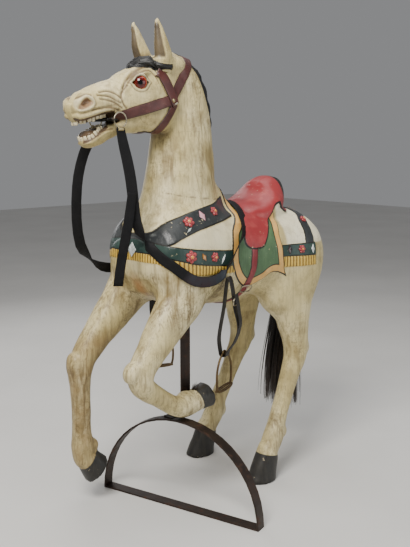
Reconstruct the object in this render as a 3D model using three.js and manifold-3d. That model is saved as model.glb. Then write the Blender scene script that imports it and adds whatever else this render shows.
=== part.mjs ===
// Carousel horse on a welded iron hoop stand.
// Built in millimetres, +Z up, standing on Z = 0. The horse faces -X and its left side is towards -Y.
// Every shape is first laid out in the horse's own directions: f is forward, l is towards its left, z is up.

import * as THREE from 'three';
import { mergeVertices } from 'three/addons/utils/BufferGeometryUtils.js';
import Module from 'manifold-3d';

const wasm = await Module();
wasm.setup();

// ---------------------------------------------------------------- driving sizes
const GAP = 0.3;                  // clearance left where two pieces touch
const EYE_RADIUS = 20;            // glass eyes
const EYE_AT = { f: 403, l: 47, z: 1236 };
const STRAP = 30;                 // bridle strap width
const LEATHER = 3.2;              // bridle leather thickness
const BIT = { f: 496, z: 1137, radius: 5, reach: 50 };
const RING = { f: 478, l: 57, z: 1137, radius: 18, wire: 1.9 };
const REIN = { width: 30, thickness: 3 };
const STIRRUP = { f: 178, l: 168, turn: 22, strap: 26, thickness: 3 };
const IRON = { shift: -14, rod: 6.4, top: 458, foot: 352, half: 52, tread: 28 };
const HOOP = { f: 319, l: 106, turn: 15.5, radius: 275, bar: 5.5, width: 34 };
const POST = { f: 265, l: 72, width: 34, bar: 6, top: 660 };
const JEWEL_THICKNESS = 3;

// ---------------------------------------------------------------- body stations
// Each row is one cross-section: [f, z, l, heading, over, under, half width, squareness].
// heading is the way the limb runs, in degrees from straight ahead (90 = up, -90 = down);
// over and under are the half depths on the two sides of the section's centre.
const TORSO = [
  [-331, 735, 0, 0, 30, 35, 35, 2],
  [-314, 738, 0, 0, 72, 90, 80, 2.1],
  [-278, 735, 0, 0, 110, 140, 120, 2.2],
  [-213, 728, 0, 0, 136, 150, 147, 2.25],
  [-120, 725, 0, 0, 140, 130, 158, 2.25],
  [0, 722, 0, 0, 145, 134, 160, 2.25],
  [100, 728, 0, 0, 155, 147, 158, 2.25],
  [190, 740, 0, 0, 150, 150, 160, 2.25],
  [270, 752, 0, 0, 143, 148, 164, 2.25],
  [332, 758, 0, 0, 122, 136, 160, 2.25],
  [376, 758, 0, 0, 92, 112, 137, 2.2],
  [400, 758, 0, 0, 50, 72, 85, 2.1],
];
const NECK = [
  [222, 760, 0, 92, 118, 150, 125, 2.2],
  [222, 850, 0, 92, 113, 138, 112, 2.1],
  [216, 930, 0, 93, 108, 124, 95, 2.05],
  [211, 1010, 0, 91, 106, 114, 83, 2],
  [209, 1090, 0, 89, 98, 106, 74, 2],
  [213, 1165, 0, 84, 90, 98, 67, 2],
  [230, 1232, 0, 66, 80, 87, 60, 2],
  [265, 1272, 0, 38, 58, 76, 54, 2],
  [312, 1268, 0, 5, 45, 70, 55, 2],
];
const HEAD = [
  [262, 1238, 0, -22, 58, 70, 52, 2.1],
  [300, 1222, 0, -22, 80, 92, 66, 2.2],
  [345, 1205, 0, -22, 88, 100, 70, 2.3],
  [395, 1187, 0, -22, 86, 85, 66, 2.35],
  [440, 1176, 0, -22, 78, 56, 56, 2.3],
  [490, 1172, 0, -21, 65, 28, 48, 2.3],
  [535, 1162, 0, -20, 58, 26, 46, 2.3],
  [568, 1152, 0, -22, 50, 26, 44, 2.2],
  [590, 1145, 0, -24, 34, 18, 33, 2],
];
const JAW = [
  [400, 1135, 0, -20, 30, 35, 50, 2.1],
  [445, 1124, 0, -22, 22, 26, 42, 2.1],
  [488, 1108, 0, -20, 18, 24, 36, 2.1],
  [525, 1095, 0, -16, 18, 28, 34, 2.1],
  [552, 1093, 0, -8, 16, 24, 28, 2],
];
const EAR_LEFT = [
  [318, 1270, 46, 92, 27, 26, 20, 2],
  [322, 1305, 50, 90, 27, 26, 20, 2],
  [330, 1340, 51, 86, 21, 21, 17, 2],
  [336, 1375, 50, 86, 14, 14, 12, 2],
  [340, 1405, 48, 86, 6, 6, 5, 2],
];
const EAR_RIGHT = [
  [306, 1270, -44, 92, 27, 26, 20, 2],
  [315, 1305, -48, 88, 27, 26, 20, 2],
  [328, 1340, -50, 78, 21, 21, 17, 2],
  [338, 1375, -50, 76, 14, 14, 12, 2],
  [346, 1405, -50, 76, 6, 6, 5, 2],
];
const SADDLE = [
  [-178, 880, 0, 0, 70, 30, 64, 2.6],
  [-168, 880, 0, 0, 81, 35, 74, 2.6],
  [-150, 876, 0, 0, 84, 40, 86, 2.4],
  [-125, 865, 0, 0, 74, 40, 98, 2.3],
  [-90, 858, 0, 0, 50, 40, 104, 2.2],
  [-50, 853, 0, 0, 34, 40, 104, 2.2],
  [-12, 853, 0, 0, 28, 40, 94, 2.2],
  [16, 850, 0, 0, 18, 30, 75, 2.1],
];
const LEG_FRONT_LEFT = [
  [255, 715, 85, -70, 85, 80, 55, 2.1],
  [305, 640, 105, -55, 72, 75, 55, 2.1],
  [365, 575, 112, -50, 58, 60, 49, 2.1],
  [420, 512, 115, -52, 45, 47, 42, 2.1],
  [460, 460, 116, -70, 38, 38, 38, 2.1],
  [467, 420, 116, -115, 36, 32, 37, 2.1],
  [440, 388, 115, -144, 32, 30, 32, 2.1],
  [397, 358, 114, -147, 28, 28, 27, 2.1],
  [350, 325, 113, -152, 28, 29, 27, 2.1],
  [305, 312, 112, -170, 33, 34, 31, 2.1],
  [268, 317, 111, -188, 32, 34, 31, 2.1],
  [250, 322, 111, -192, 35, 34, 34, 2.1],
  [214, 331, 111, -194, 42, 36, 40, 2.1],
];
const LEG_FRONT_RIGHT = [
  [270, 715, -85, -60, 85, 80, 55, 2.1],
  [340, 640, -100, -52, 70, 74, 53, 2.1],
  [395, 580, -103, -50, 56, 60, 48, 2.1],
  [455, 518, -104, -50, 45, 47, 42, 2.1],
  [502, 462, -105, -62, 38, 40, 38, 2.1],
  [519, 420, -105, -82, 36, 34, 37, 2.1],
  [521, 370, -105, -90, 30, 30, 31, 2.1],
  [521, 300, -105, -91, 27, 29, 27, 2.1],
  [521, 230, -105, -90, 28, 30, 27, 2.1],
  [519, 185, -105, -98, 34, 37, 31, 2.1],
  [514, 150, -105, -118, 33, 32, 30, 2.1],
  [500, 135, -105, -130, 37, 36, 35, 2.1],
  [468, 104, -105, -138, 54, 38, 42, 2.1],
];
const LEG_HIND_LEFT = [
  [-215, 720, 80, -80, 120, 88, 66, 2.2],
  [-195, 640, 100, -82, 112, 83, 64, 2.2],
  [-180, 560, 110, -85, 92, 64, 56, 2.1],
  [-178, 490, 117, -92, 68, 50, 46, 2.1],
  [-180, 430, 122, -90, 50, 44, 38, 2.1],
  [-172, 380, 127, -72, 40, 46, 34, 2.1],
  [-145, 325, 131, -62, 32, 36, 30, 2.1],
  [-112, 255, 135, -64, 28, 29, 27, 2.1],
  [-80, 190, 139, -64, 29, 30, 27, 2.1],
  [-56, 135, 142, -62, 34, 36, 31, 2.1],
  [-34, 100, 144, -56, 32, 34, 31, 2.1],
  [-24, 85, 145, -60, 36, 36, 34, 2.1],
  [4, -12, 146, -74, 56, 48, 43, 2.1],
];
const LEG_HIND_RIGHT = LEG_HIND_LEFT.map((s) => [s[0], s[1], -s[2], ...s.slice(3)]);
const TAIL = [
  [-318, 800, 0, -120, 22, 20, 22, 2],
  [-335, 770, -2, -105, 26, 24, 28, 2],
  [-343, 710, -8, -92, 32, 28, 38, 2],
  [-338, 620, -18, -86, 38, 32, 46, 2],
  [-322, 520, -28, -82, 42, 36, 52, 2],
  [-308, 420, -34, -84, 42, 38, 54, 2],
  [-296, 320, -36, -88, 42, 36, 54, 2],
  [-294, 240, -34, -90, 38, 32, 50, 2],
  [-292, 160, -34, -90, 24, 20, 34, 2],
];

// ---------------------------------------------------------------- solids
function toManifold(geometry) {
  const g = geometry.index ? geometry.clone() : geometry.clone();
  g.deleteAttribute('normal');
  g.deleteAttribute('uv');
  const m = mergeVertices(g, 1e-4);
  return new wasm.Manifold(new wasm.Mesh({
    numProp: 3,
    vertProperties: new Float32Array(m.attributes.position.array),
    triVerts: new Uint32Array(m.index.array),
  }));
}

function meshFrom(points, faces) {
  return new wasm.Manifold(new wasm.Mesh({
    numProp: 3,
    vertProperties: new Float32Array(points.flat()),
    triVerts: new Uint32Array(faces.flat()),
  }));
}

// smooth rows between the given stations
function refine(rows, steps) {
  const out = [];
  for (let i = 0; i < rows.length - 1; i++) {
    const p = [rows[Math.max(i - 1, 0)], rows[i], rows[i + 1], rows[Math.min(i + 2, rows.length - 1)]];
    for (let j = 0; j < steps; j++) {
      const t = j / steps;
      out.push(rows[i].map((_, k) => 0.5 * (2 * p[1][k] + (p[2][k] - p[0][k]) * t
        + (2 * p[0][k] - 5 * p[1][k] + 4 * p[2][k] - p[3][k]) * t * t
        + (3 * p[1][k] - p[0][k] - 3 * p[2][k] + p[3][k]) * t * t * t)));
    }
  }
  out.push(rows[rows.length - 1]);
  return out;
}

// a closed limb swept through its stations; round = how far each end domes out
function sweep(rows, { steps = 1, sides = 12, grow = 0, startRound = 0, endRound = 0 } = {}) {
  const stations = refine(rows, steps);
  const rings = [];
  const ring = (s, shift, scale) => {
    const [f, z, l, heading, over, under, half, square] = s;
    const h = THREE.MathUtils.degToRad(heading);
    const cf = f + Math.cos(h) * shift;
    const cz = z + Math.sin(h) * shift;
    const pts = [];
    for (let i = 0; i < sides; i++) {
      const a = (2 * Math.PI * (i + 0.5)) / sides;
      const c = Math.cos(a);
      const d = Math.sin(a);
      const e = 2 / square;
      const side = (half + grow) * Math.sign(c) * Math.abs(c) ** e * scale;
      const up = ((d >= 0 ? over : under) + grow) * Math.sign(d) * Math.abs(d) ** e * scale;
      pts.push([cf - Math.sin(h) * up, l + side, cz + Math.cos(h) * up]);
    }
    return pts;
  };
  const first = stations[0];
  const last = stations[stations.length - 1];
  const pole = (s, shift) => {
    const h = THREE.MathUtils.degToRad(s[3]);
    return [s[0] + Math.cos(h) * shift, s[2], s[1] + Math.sin(h) * shift];
  };
  if (startRound > 0) rings.push(ring(first, -startRound * 0.8 - grow, 0.6));
  rings.push(ring(first, -grow, 1));
  for (const s of stations.slice(1, -1)) rings.push(ring(s, 0, 1));
  rings.push(ring(last, grow, 1));
  if (endRound > 0) rings.push(ring(last, endRound * 0.8 + grow, 0.6));
  const points = rings.flat();
  const faces = [];
  for (let r = 0; r < rings.length - 1; r++) {
    for (let i = 0; i < sides; i++) {
      const j = (i + 1) % sides;
      const a = r * sides + i;
      const b = r * sides + j;
      const c = a + sides;
      const d = b + sides;
      faces.push([a, c, b], [b, c, d]);
    }
  }
  const p0 = points.push(pole(first, -startRound - grow)) - 1;
  const p1 = points.push(pole(last, endRound + grow)) - 1;
  const base = (rings.length - 1) * sides;
  for (let i = 0; i < sides; i++) {
    const j = (i + 1) % sides;
    faces.push([p0, i, j], [p1, base + j, base + i]);
  }
  const solid = meshFrom(points, faces);
  if (solid.volume() >= 0) return solid;
  return meshFrom(points, faces.map(([a, b, c]) => [a, c, b]));
}

// box centred on (f, l, z); axis u is its long direction in the f-z plane
function slab(f0, z0, f1, z1, width, l0, l1) {
  const length = Math.hypot(f1 - f0, z1 - z0);
  const g = new THREE.BoxGeometry(length, l1 - l0, width);
  g.rotateY(-Math.atan2(z1 - z0, f1 - f0));
  g.translate((f0 + f1) / 2, (l0 + l1) / 2, (z0 + z1) / 2);
  return toManifold(g);
}

function box(f0, f1, l0, l1, z0, z1) {
  const g = new THREE.BoxGeometry(f1 - f0, l1 - l0, z1 - z0);
  g.translate((f0 + f1) / 2, (l0 + l1) / 2, (z0 + z1) / 2);
  return toManifold(g);
}

function ball(f, l, z, radius, columns = 16, rows = 10) {
  const g = new THREE.SphereGeometry(radius, columns, rows);
  g.translate(f, l, z);
  return toManifold(g);
}

// flat bar bent along a route of [f, l, z, sideways f, sideways l, sideways z]
function ribbon(route, width, thickness) {
  const points = [];
  const faces = [];
  const across = [[-1, -0.5], [-0.9, -1], [0.9, -1], [1, -0.5], [1, 0.5], [0.9, 1], [-0.9, 1], [-1, 0.5]];
  const n = across.length;
  route.forEach((r, i) => {
    const at = new THREE.Vector3(r[0], r[1], r[2]);
    const a = route[Math.max(i - 1, 0)];
    const b = route[Math.min(i + 1, route.length - 1)];
    const run = new THREE.Vector3(b[0] - a[0], b[1] - a[1], b[2] - a[2]).normalize();
    const side = new THREE.Vector3(r[3], r[4], r[5]);
    side.addScaledVector(run, -side.dot(run)).normalize();
    const face = new THREE.Vector3().crossVectors(run, side);
    for (const [u, v] of across) {
      const p = at.clone().addScaledVector(side, (u * width) / 2).addScaledVector(face, (v * thickness) / 2);
      points.push([p.x, p.y, p.z]);
    }
  });
  for (let r = 0; r < route.length - 1; r++) {
    for (let i = 0; i < n; i++) {
      const j = (i + 1) % n;
      const a = r * n + i;
      const b = r * n + j;
      faces.push([a, a + n, b], [b, a + n, b + n]);
    }
  }
  const end = (route.length - 1) * n;
  for (let i = 1; i < n - 1; i++) faces.push([0, i, i + 1], [end, end + i + 1, end + i]);
  const solid = meshFrom(points, faces);
  if (solid.volume() >= 0) return solid;
  return meshFrom(points, faces.map(([a, b, c]) => [a, c, b]));
}

// smooth route through control rows, with about the given step
function along(rows, count) {
  const curve = new THREE.CatmullRomCurve3(rows.map((r) => new THREE.Vector3(r[0], r[1], r[2])), false, 'centripetal');
  const sides = new THREE.CatmullRomCurve3(rows.map((r) => new THREE.Vector3(r[3], r[4], r[5])), false, 'centripetal');
  const out = [];
  for (let i = 0; i <= count; i++) {
    const t = i / count;
    const p = curve.getPoint(t);
    const s = sides.getPoint(t).normalize();
    out.push([p.x, p.y, p.z, s.x, s.y, s.z]);
  }
  return out;
}

function union(solids) {
  return solids.reduce((a, b) => a.add(b));
}

const mirror = (m) => m.mirror([0, 1, 0]);

// plate drawn in its own plane (u, z), placed at (f, l) with u along heading turn, thickness centred
function plate(outer, inner, thickness, f, l, turn, sign) {
  // the outline runs clockwise and its hole the other way
  const run = (list, clockwise) => {
    const points = list.map(([u, v]) => new THREE.Vector2(u, v));
    return THREE.ShapeUtils.isClockWise(points) === clockwise ? points : points.reverse();
  };
  const shape = new THREE.Shape(run(outer, true));
  if (inner) shape.holes.push(new THREE.Path(run(inner, false)));
  const g = new THREE.ExtrudeGeometry(shape, { depth: thickness, bevelEnabled: false });
  g.translate(0, 0, -thickness / 2);
  g.rotateX(Math.PI / 2);                       // (u, v, depth) to (u, -depth, z)
  g.rotateZ(THREE.MathUtils.degToRad(turn));
  g.translate(f, l, 0);
  const m = toManifold(g);
  return sign < 0 ? mirror(m) : m;
}

// ---------------------------------------------------------------- the carved horse
const LIMBS = [
  [TORSO, { steps: 1, sides: 20, startRound: 8, endRound: 14 }],
  [NECK, { steps: 1, sides: 18, endRound: 10 }],
  [HEAD, { steps: 1, sides: 18, startRound: 10, endRound: 12 }],
  [JAW, { steps: 1, sides: 12, endRound: 9 }],
  [EAR_LEFT, { sides: 10, endRound: 6 }],
  [EAR_RIGHT, { sides: 10, endRound: 6 }],
  [SADDLE, { steps: 1, sides: 16, startRound: 4, endRound: 6 }],
  [LEG_FRONT_LEFT, { sides: 12 }],
  [LEG_FRONT_RIGHT, { sides: 12 }],
  [LEG_HIND_LEFT, { sides: 12 }],
  [LEG_HIND_RIGHT, { sides: 12 }],
];
const carve = (grow) => union(LIMBS.map(([rows, how]) => sweep(rows, { ...how, grow })));
const ground = box(-900, 900, -700, 700, -200, 0);

const around = carve(GAP);            // the body's skin with the touching clearance
const leatherSkin = carve(GAP + LEATHER);
const sockets = ball(EYE_AT.f, EYE_AT.l, EYE_AT.z, EYE_RADIUS + GAP).add(
  ball(EYE_AT.f, -EYE_AT.l, EYE_AT.z, EYE_RADIUS + GAP));
const horse = carve(0).subtract(sockets).subtract(ground);

// ---------------------------------------------------------------- bridle
const strapWork = union([
  slab(292, 1197, 474, 1146, STRAP, -90, 90),      // cheek straps to the bit rings
  slab(300, 1186, 374, 1318, STRAP, -90, 90),      // brow band
  slab(196, 1331, 311, 1186, STRAP, -90, 90),      // crown piece over the poll
  slab(303, 1206, 336, 1084, STRAP, -90, 90),      // throat strap
]);
const bridle = leatherSkin.intersect(strapWork).subtract(around).subtract(
  box(400, 474, -20, 20, 1000, 1300));

// ---------------------------------------------------------------- bit and rings
function torus(f, l, z, radius, wire, spin) {
  const g = new THREE.TorusGeometry(radius, wire, 8, 20);
  if (spin === 'side') g.rotateX(Math.PI / 2);
  g.translate(f, l, z);
  return toManifold(g);
}
function bitBar() {
  const g = new THREE.CylinderGeometry(BIT.radius, BIT.radius, BIT.reach * 2, 12);
  g.translate(0, 0, 0);
  g.translate(BIT.f, 0, BIT.z);
  const eyes = [1, -1].map((s) => torus(BIT.f, s * RING.l, BIT.z, 6.2, 2, 'flat'));
  return union([toManifold(g), ...eyes]);
}
const ring = (s) => torus(RING.f, s * RING.l, RING.z, RING.radius, RING.wire, 'side');

// ---------------------------------------------------------------- reins
const REIN_NEAR = [
  [478, 57, 1115, 1, 0.1, 0], [477, 58, 1104, 1, 0, 0], [472, 61, 1072, 0.95, -0.2, 0], [461, 66, 1017, 0.85, -0.4, 0], [453, 69, 963, 0.8, -0.5, 0],
  [449, 72, 909, 0.8, -0.5, 0.1], [444, 76, 860, 0.7, -0.6, 0.3], [428, 83, 818, 0.4, -0.5, 0.8], [408, 100, 784, 0.2, -0.2, 1],
  [392, 128, 757, 0, 0, 1], [372, 150, 737, 0.1, 0.1, 1], [347, 163, 715, 0.1, 0.1, 1], [312, 168, 694, 0, 0.05, 1],
  [268, 170, 685, 0, 0, 1], [226, 169, 689, -0.4, 0, 1], [196, 168, 704, -0.7, 0, 0.8], [172, 170, 732, -0.9, -0.3, 0.4],
  [152, 173, 766, -0.75, -0.65, 0.1], [124, 165, 797, -0.75, -0.6, 0], [92, 144, 822, -0.85, -0.3, -0.3], [64, 110, 850, -0.9, 0.1, -0.3],
  [46, 72, 876, -1, 0, -0.1], [38, 36, 891, -1, 0, 0], [36, 0, 895, -1, 0, 0],
];
const REIN_FAR = [
  [38, -36, 891, -1, 0, 0], [46, -72, 876, -1, 0, -0.1], [64, -110, 850, -0.9, -0.1, -0.3], [92, -139, 822, -0.8, -0.3, -0.4],
  [124, -158, 797, -0.9, -0.4, -0.3], [152, -167, 766, -1, -0.2, 0], [176, -171, 732, -0.9, 0, 0.3], [204, -173, 706, -0.6, 0, 0.7],
  [245, -176, 692, 0, 0, 1], [300, -180, 690, 0, 0, 1], [360, -172, 696, 0.1, 0, 1], [426, -140, 716, 0.4, -0.2, 0.9],
  [478, -112, 748, 0.8, -0.2, 0.6], [516, -92, 792, 1, -0.2, 0.2], [534, -79, 863, 1, -0.2, 0], [536, -71, 947, 1, -0.2, 0],
  [529, -66, 1002, 1, -0.2, 0], [512, -61, 1056, 1, -0.2, 0], [484, -58, 1103, 1, -0.2, 0], [478, -57, 1115, 1, -0.1, 0],
];
const reinRoute = along([...REIN_NEAR, ...REIN_FAR].map((r, i) => r), 78);
const rein = ribbon(reinRoute, REIN.width, REIN.thickness).subtract(around);
const REIN_END = [
  [462, 82, 945, 1, 0.1, 0], [468, 81, 900, 1, -0.1, 0], [476, 78, 850, 1, -0.2, 0], [484, 72, 800, 1, -0.2, 0],
  [489, 62, 745, 1, -0.2, 0], [493, 53, 687, 1, -0.2, 0],
];
const reinEnd = ribbon(along(REIN_END, 12), REIN.width, REIN.thickness);

// ---------------------------------------------------------------- stirrups
const LOOP = [[4, 686], [12, 655], [20, 600], [31, 560], [32, 530], [19, 495], [-1, 466], [-6, 451.5], [-22, 451.5], [-27, 466],
  [-31, 500], [-26, 540], [-15, 600], [-9, 655], [-3, 686]];
function offsetLoop(points, by) {
  return points.map((p, i) => {
    const a = points[(i + points.length - 1) % points.length];
    const b = points[(i + 1) % points.length];
    const t = new THREE.Vector2(b[0] - a[0], b[1] - a[1]).normalize();
    return [p[0] - t.y * by, p[1] + t.x * by];
  });
}
function stirrupLeather(s) {
  // the loop lies across the strap's faces, so it is drawn in the plane square to the strap's width
  const half = STIRRUP.thickness / 2;
  return plate(offsetLoop(LOOP, half), offsetLoop(LOOP, -half), STIRRUP.strap, STIRRUP.f, STIRRUP.l, STIRRUP.turn + 90, s);
}
function stirrupIron(s) {
  const r = IRON.rod / 2;
  const arch = (e) => {
    const pts = [[-18 - e * 0.4, IRON.top + e], [18 + e * 0.4, IRON.top + e]];
    pts.push([38 + e * 0.8, 438 + e * 0.6], [IRON.half - 1 + e, 410], [IRON.half + e, 376], [IRON.half - 4 + e, IRON.foot - e]);
    pts.push([-IRON.half + 4 - e, IRON.foot - e], [-IRON.half - e, 376], [-IRON.half + 1 - e, 410], [-38 - e * 0.8, 438 + e * 0.6]);
    return pts;
  };
  const t = THREE.MathUtils.degToRad(STIRRUP.turn);
  const f = STIRRUP.f - Math.sin(t) * IRON.shift;
  const l = STIRRUP.l + Math.cos(t) * IRON.shift;
  const frame = plate(arch(r), arch(-r), IRON.rod, f, l, STIRRUP.turn, s);
  const h = IRON.half - 4;
  const tread = plate([[-h, IRON.foot - r], [h, IRON.foot - r], [h, IRON.foot + r], [-h, IRON.foot + r]], null,
    IRON.tread, f, l, STIRRUP.turn, s);
  return frame.add(tread);
}

// ---------------------------------------------------------------- stand
function stand() {
  const arc = (radius) => Array.from({ length: 25 }, (_, i) => {
    const a = (Math.PI * i) / 24;
    return [radius * Math.cos(a), radius * Math.sin(a)];
  });
  const outer = arc(HOOP.radius);
  const inner = arc(HOOP.radius - HOOP.bar).map(([u, v]) => [u, Math.max(v, HOOP.bar)]);
  const hoop = plate(outer, inner, HOOP.width, HOOP.f, HOOP.l, HOOP.turn + 90, 1);
  const foot = box(POST.f - POST.width / 2, HOOP.f + HOOP.width / 2, POST.l - POST.width / 2, POST.l + POST.width / 2,
    HOOP.radius - 5, HOOP.radius + 1);
  const post = box(POST.f - POST.width / 2, POST.f + POST.width / 2, POST.l - POST.bar / 2, POST.l + POST.bar / 2,
    HOOP.radius - 5, POST.top);
  return hoop.add(foot).add(post.subtract(around));
}

// ---------------------------------------------------------------- tail, eyes, jewels
const tail = sweep(TAIL, { sides: 12, endRound: 6 }).subtract(around);

function jewel(f, l, z, nf, nl, nz, wide, tall) {
  const g = new THREE.CylinderGeometry(1, 1, JEWEL_THICKNESS, 4);
  g.rotateX(Math.PI / 2);                        // the plate's face looks along +z of its own frame
  g.scale(wide / 2, tall / 2, 1);
  const normal = new THREE.Vector3(nf, nl, nz).normalize();
  const up = new THREE.Vector3(0, 0, 1);
  const across = new THREE.Vector3().crossVectors(up, normal).normalize();
  up.crossVectors(normal, across);
  const m = new THREE.Matrix4().makeBasis(across, up, normal);
  g.applyMatrix4(m);
  g.translate(f + normal.x * JEWEL_THICKNESS * 0.5, l + normal.y * JEWEL_THICKNESS * 0.5, z + normal.z * JEWEL_THICKNESS * 0.5);
  return toManifold(g).subtract(around);
}

const PAINT = { ivory: 0xd9cfb4, iron: 0x2a211d, leather: 0x5a2a2e, black: 0x151414, bronze: 0x4a3c2e, steel: 0x8f8873, hair: 0x17130f, eye: 0x7a2418, mirror: 0xc9ccc8, pink: 0xd48a96 };
const skin = (color, roughness, metalness) => new THREE.MeshStandardMaterial({ color, roughness, metalness });

const pieces = [
  ['horse_body', horse, skin(PAINT.ivory, 0.6, 0)],
  ['eye_left', ball(EYE_AT.f, EYE_AT.l, EYE_AT.z, EYE_RADIUS), skin(PAINT.eye, 0.1, 0)],
  ['eye_right', ball(EYE_AT.f, -EYE_AT.l, EYE_AT.z, EYE_RADIUS), skin(PAINT.eye, 0.1, 0)],
  ['bridle', bridle, skin(PAINT.leather, 0.5, 0)],
  ['bit_bar', bitBar(), skin(PAINT.black, 0.5, 0.6)],
  ['bit_ring_left', ring(1), skin(PAINT.steel, 0.35, 1)],
  ['bit_ring_right', ring(-1), skin(PAINT.steel, 0.35, 1)],
  ['rein', rein, skin(PAINT.black, 0.6, 0)],
  ['rein_end', reinEnd, skin(PAINT.black, 0.6, 0)],
  ['stirrup_leather_left', stirrupLeather(1), skin(PAINT.black, 0.6, 0)],
  ['stirrup_leather_right', stirrupLeather(-1), skin(PAINT.black, 0.6, 0)],
  ['stirrup_iron_left', stirrupIron(1), skin(PAINT.bronze, 0.5, 0.8)],
  ['stirrup_iron_right', stirrupIron(-1), skin(PAINT.bronze, 0.5, 0.8)],
  ['tail', tail, skin(PAINT.hair, 0.7, 0)],
  ['stand', stand(), skin(PAINT.iron, 0.55, 0.5)],
  ['jewel_chest', jewel(412, 0, 772, 1, 0, -0.05, 38, 38), skin(PAINT.mirror, 0.1, 1)],
  ['jewel_collar_left', jewel(232, 113, 862, 0.1, 0.6, 0.8, 24, 32), skin(PAINT.pink, 0.15, 0)],
  ['jewel_collar_right', jewel(232, -113, 862, 0.1, -0.6, 0.8, 24, 32), skin(PAINT.pink, 0.15, 0)],
  ['jewel_rump_left', jewel(-196, 151, 734, -0.2, 1, 0.02, 18, 30), skin(PAINT.mirror, 0.1, 1)],
  ['jewel_rump_right', jewel(-196, -151, 734, -0.2, -1, 0.02, 18, 30), skin(PAINT.mirror, 0.1, 1)],
];

// the row's origin: middle of everything but the loose rein, on the ground
const extent = new THREE.Box3();
for (const [name, solid] of pieces) {
  if (name === 'rein') continue;
  const b = solid.boundingBox();
  extent.expandByPoint(new THREE.Vector3(...b.min));
  extent.expandByPoint(new THREE.Vector3(...b.max));
}
const centre = extent.getCenter(new THREE.Vector3());

const group = new THREE.Group();
for (const [name, solid, material] of pieces) {
  const mesh = solid.getMesh();
  const g = new THREE.BufferGeometry();
  const p = new Float32Array((mesh.vertProperties.length / mesh.numProp) * 3);
  for (let i = 0; i < p.length / 3; i++) {
    p[3 * i] = -(mesh.vertProperties[i * mesh.numProp] - centre.x);
    p[3 * i + 1] = -(mesh.vertProperties[i * mesh.numProp + 1] - centre.y);
    p[3 * i + 2] = mesh.vertProperties[i * mesh.numProp + 2] - extent.min.z;
  }
  g.setAttribute('position', new THREE.BufferAttribute(p, 3));
  g.setIndex(new THREE.BufferAttribute(new Uint32Array(mesh.triVerts), 1));
  const part = new THREE.Mesh(g, material);
  part.name = name;
  group.add(part);
}

export default group;
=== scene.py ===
"""Carousel horse: fine surface, paint, leather, iron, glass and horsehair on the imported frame."""
import bpy, bmesh, math
import numpy as np
from mathutils import Vector, Matrix
from mathutils.bvhtree import BVHTree


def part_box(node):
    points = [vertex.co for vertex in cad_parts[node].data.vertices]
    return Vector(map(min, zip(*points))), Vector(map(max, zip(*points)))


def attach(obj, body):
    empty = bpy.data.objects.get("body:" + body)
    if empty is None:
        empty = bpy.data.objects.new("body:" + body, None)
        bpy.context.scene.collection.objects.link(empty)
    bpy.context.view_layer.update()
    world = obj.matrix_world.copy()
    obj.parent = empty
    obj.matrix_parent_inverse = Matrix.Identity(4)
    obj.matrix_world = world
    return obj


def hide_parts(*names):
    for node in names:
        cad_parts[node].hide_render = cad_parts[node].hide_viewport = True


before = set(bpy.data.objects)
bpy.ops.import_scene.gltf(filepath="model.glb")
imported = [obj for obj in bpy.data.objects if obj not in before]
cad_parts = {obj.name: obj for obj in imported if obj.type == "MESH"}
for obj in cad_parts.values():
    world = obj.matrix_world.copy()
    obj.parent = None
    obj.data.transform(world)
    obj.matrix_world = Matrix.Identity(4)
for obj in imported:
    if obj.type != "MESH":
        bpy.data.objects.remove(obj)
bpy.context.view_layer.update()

# ------------------------------------------------------------------ frame
# Shapes are laid out in the horse's own directions: f forward, l to its left, z up (metres).
# The glass eyes tie them to the row's frame.
EYE = (0.403, 0.047, 1.236)
EYE_R = 0.020
(ex0, ey0, ez0), (ex1, ey1, ez1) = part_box("eye_left")
OX = (ex0 + ex1) / 2 + EYE[0]
OY = (ey0 + ey1) / 2 + EYE[1]
OZ = (ez0 + ez1) / 2 - EYE[2]


def row(P):
    P = np.asarray(P, float).reshape(-1, 3)
    return np.stack([OX - P[:, 0], OY - P[:, 1], OZ + P[:, 2]], 1)


def row1(f, l, z):
    return Vector((OX - f, OY - l, OZ + z))


def unrow(V):
    V = np.asarray(V, float).reshape(-1, 3)
    return np.stack([OX - V[:, 0], OY - V[:, 1], V[:, 2] - OZ], 1)


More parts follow.
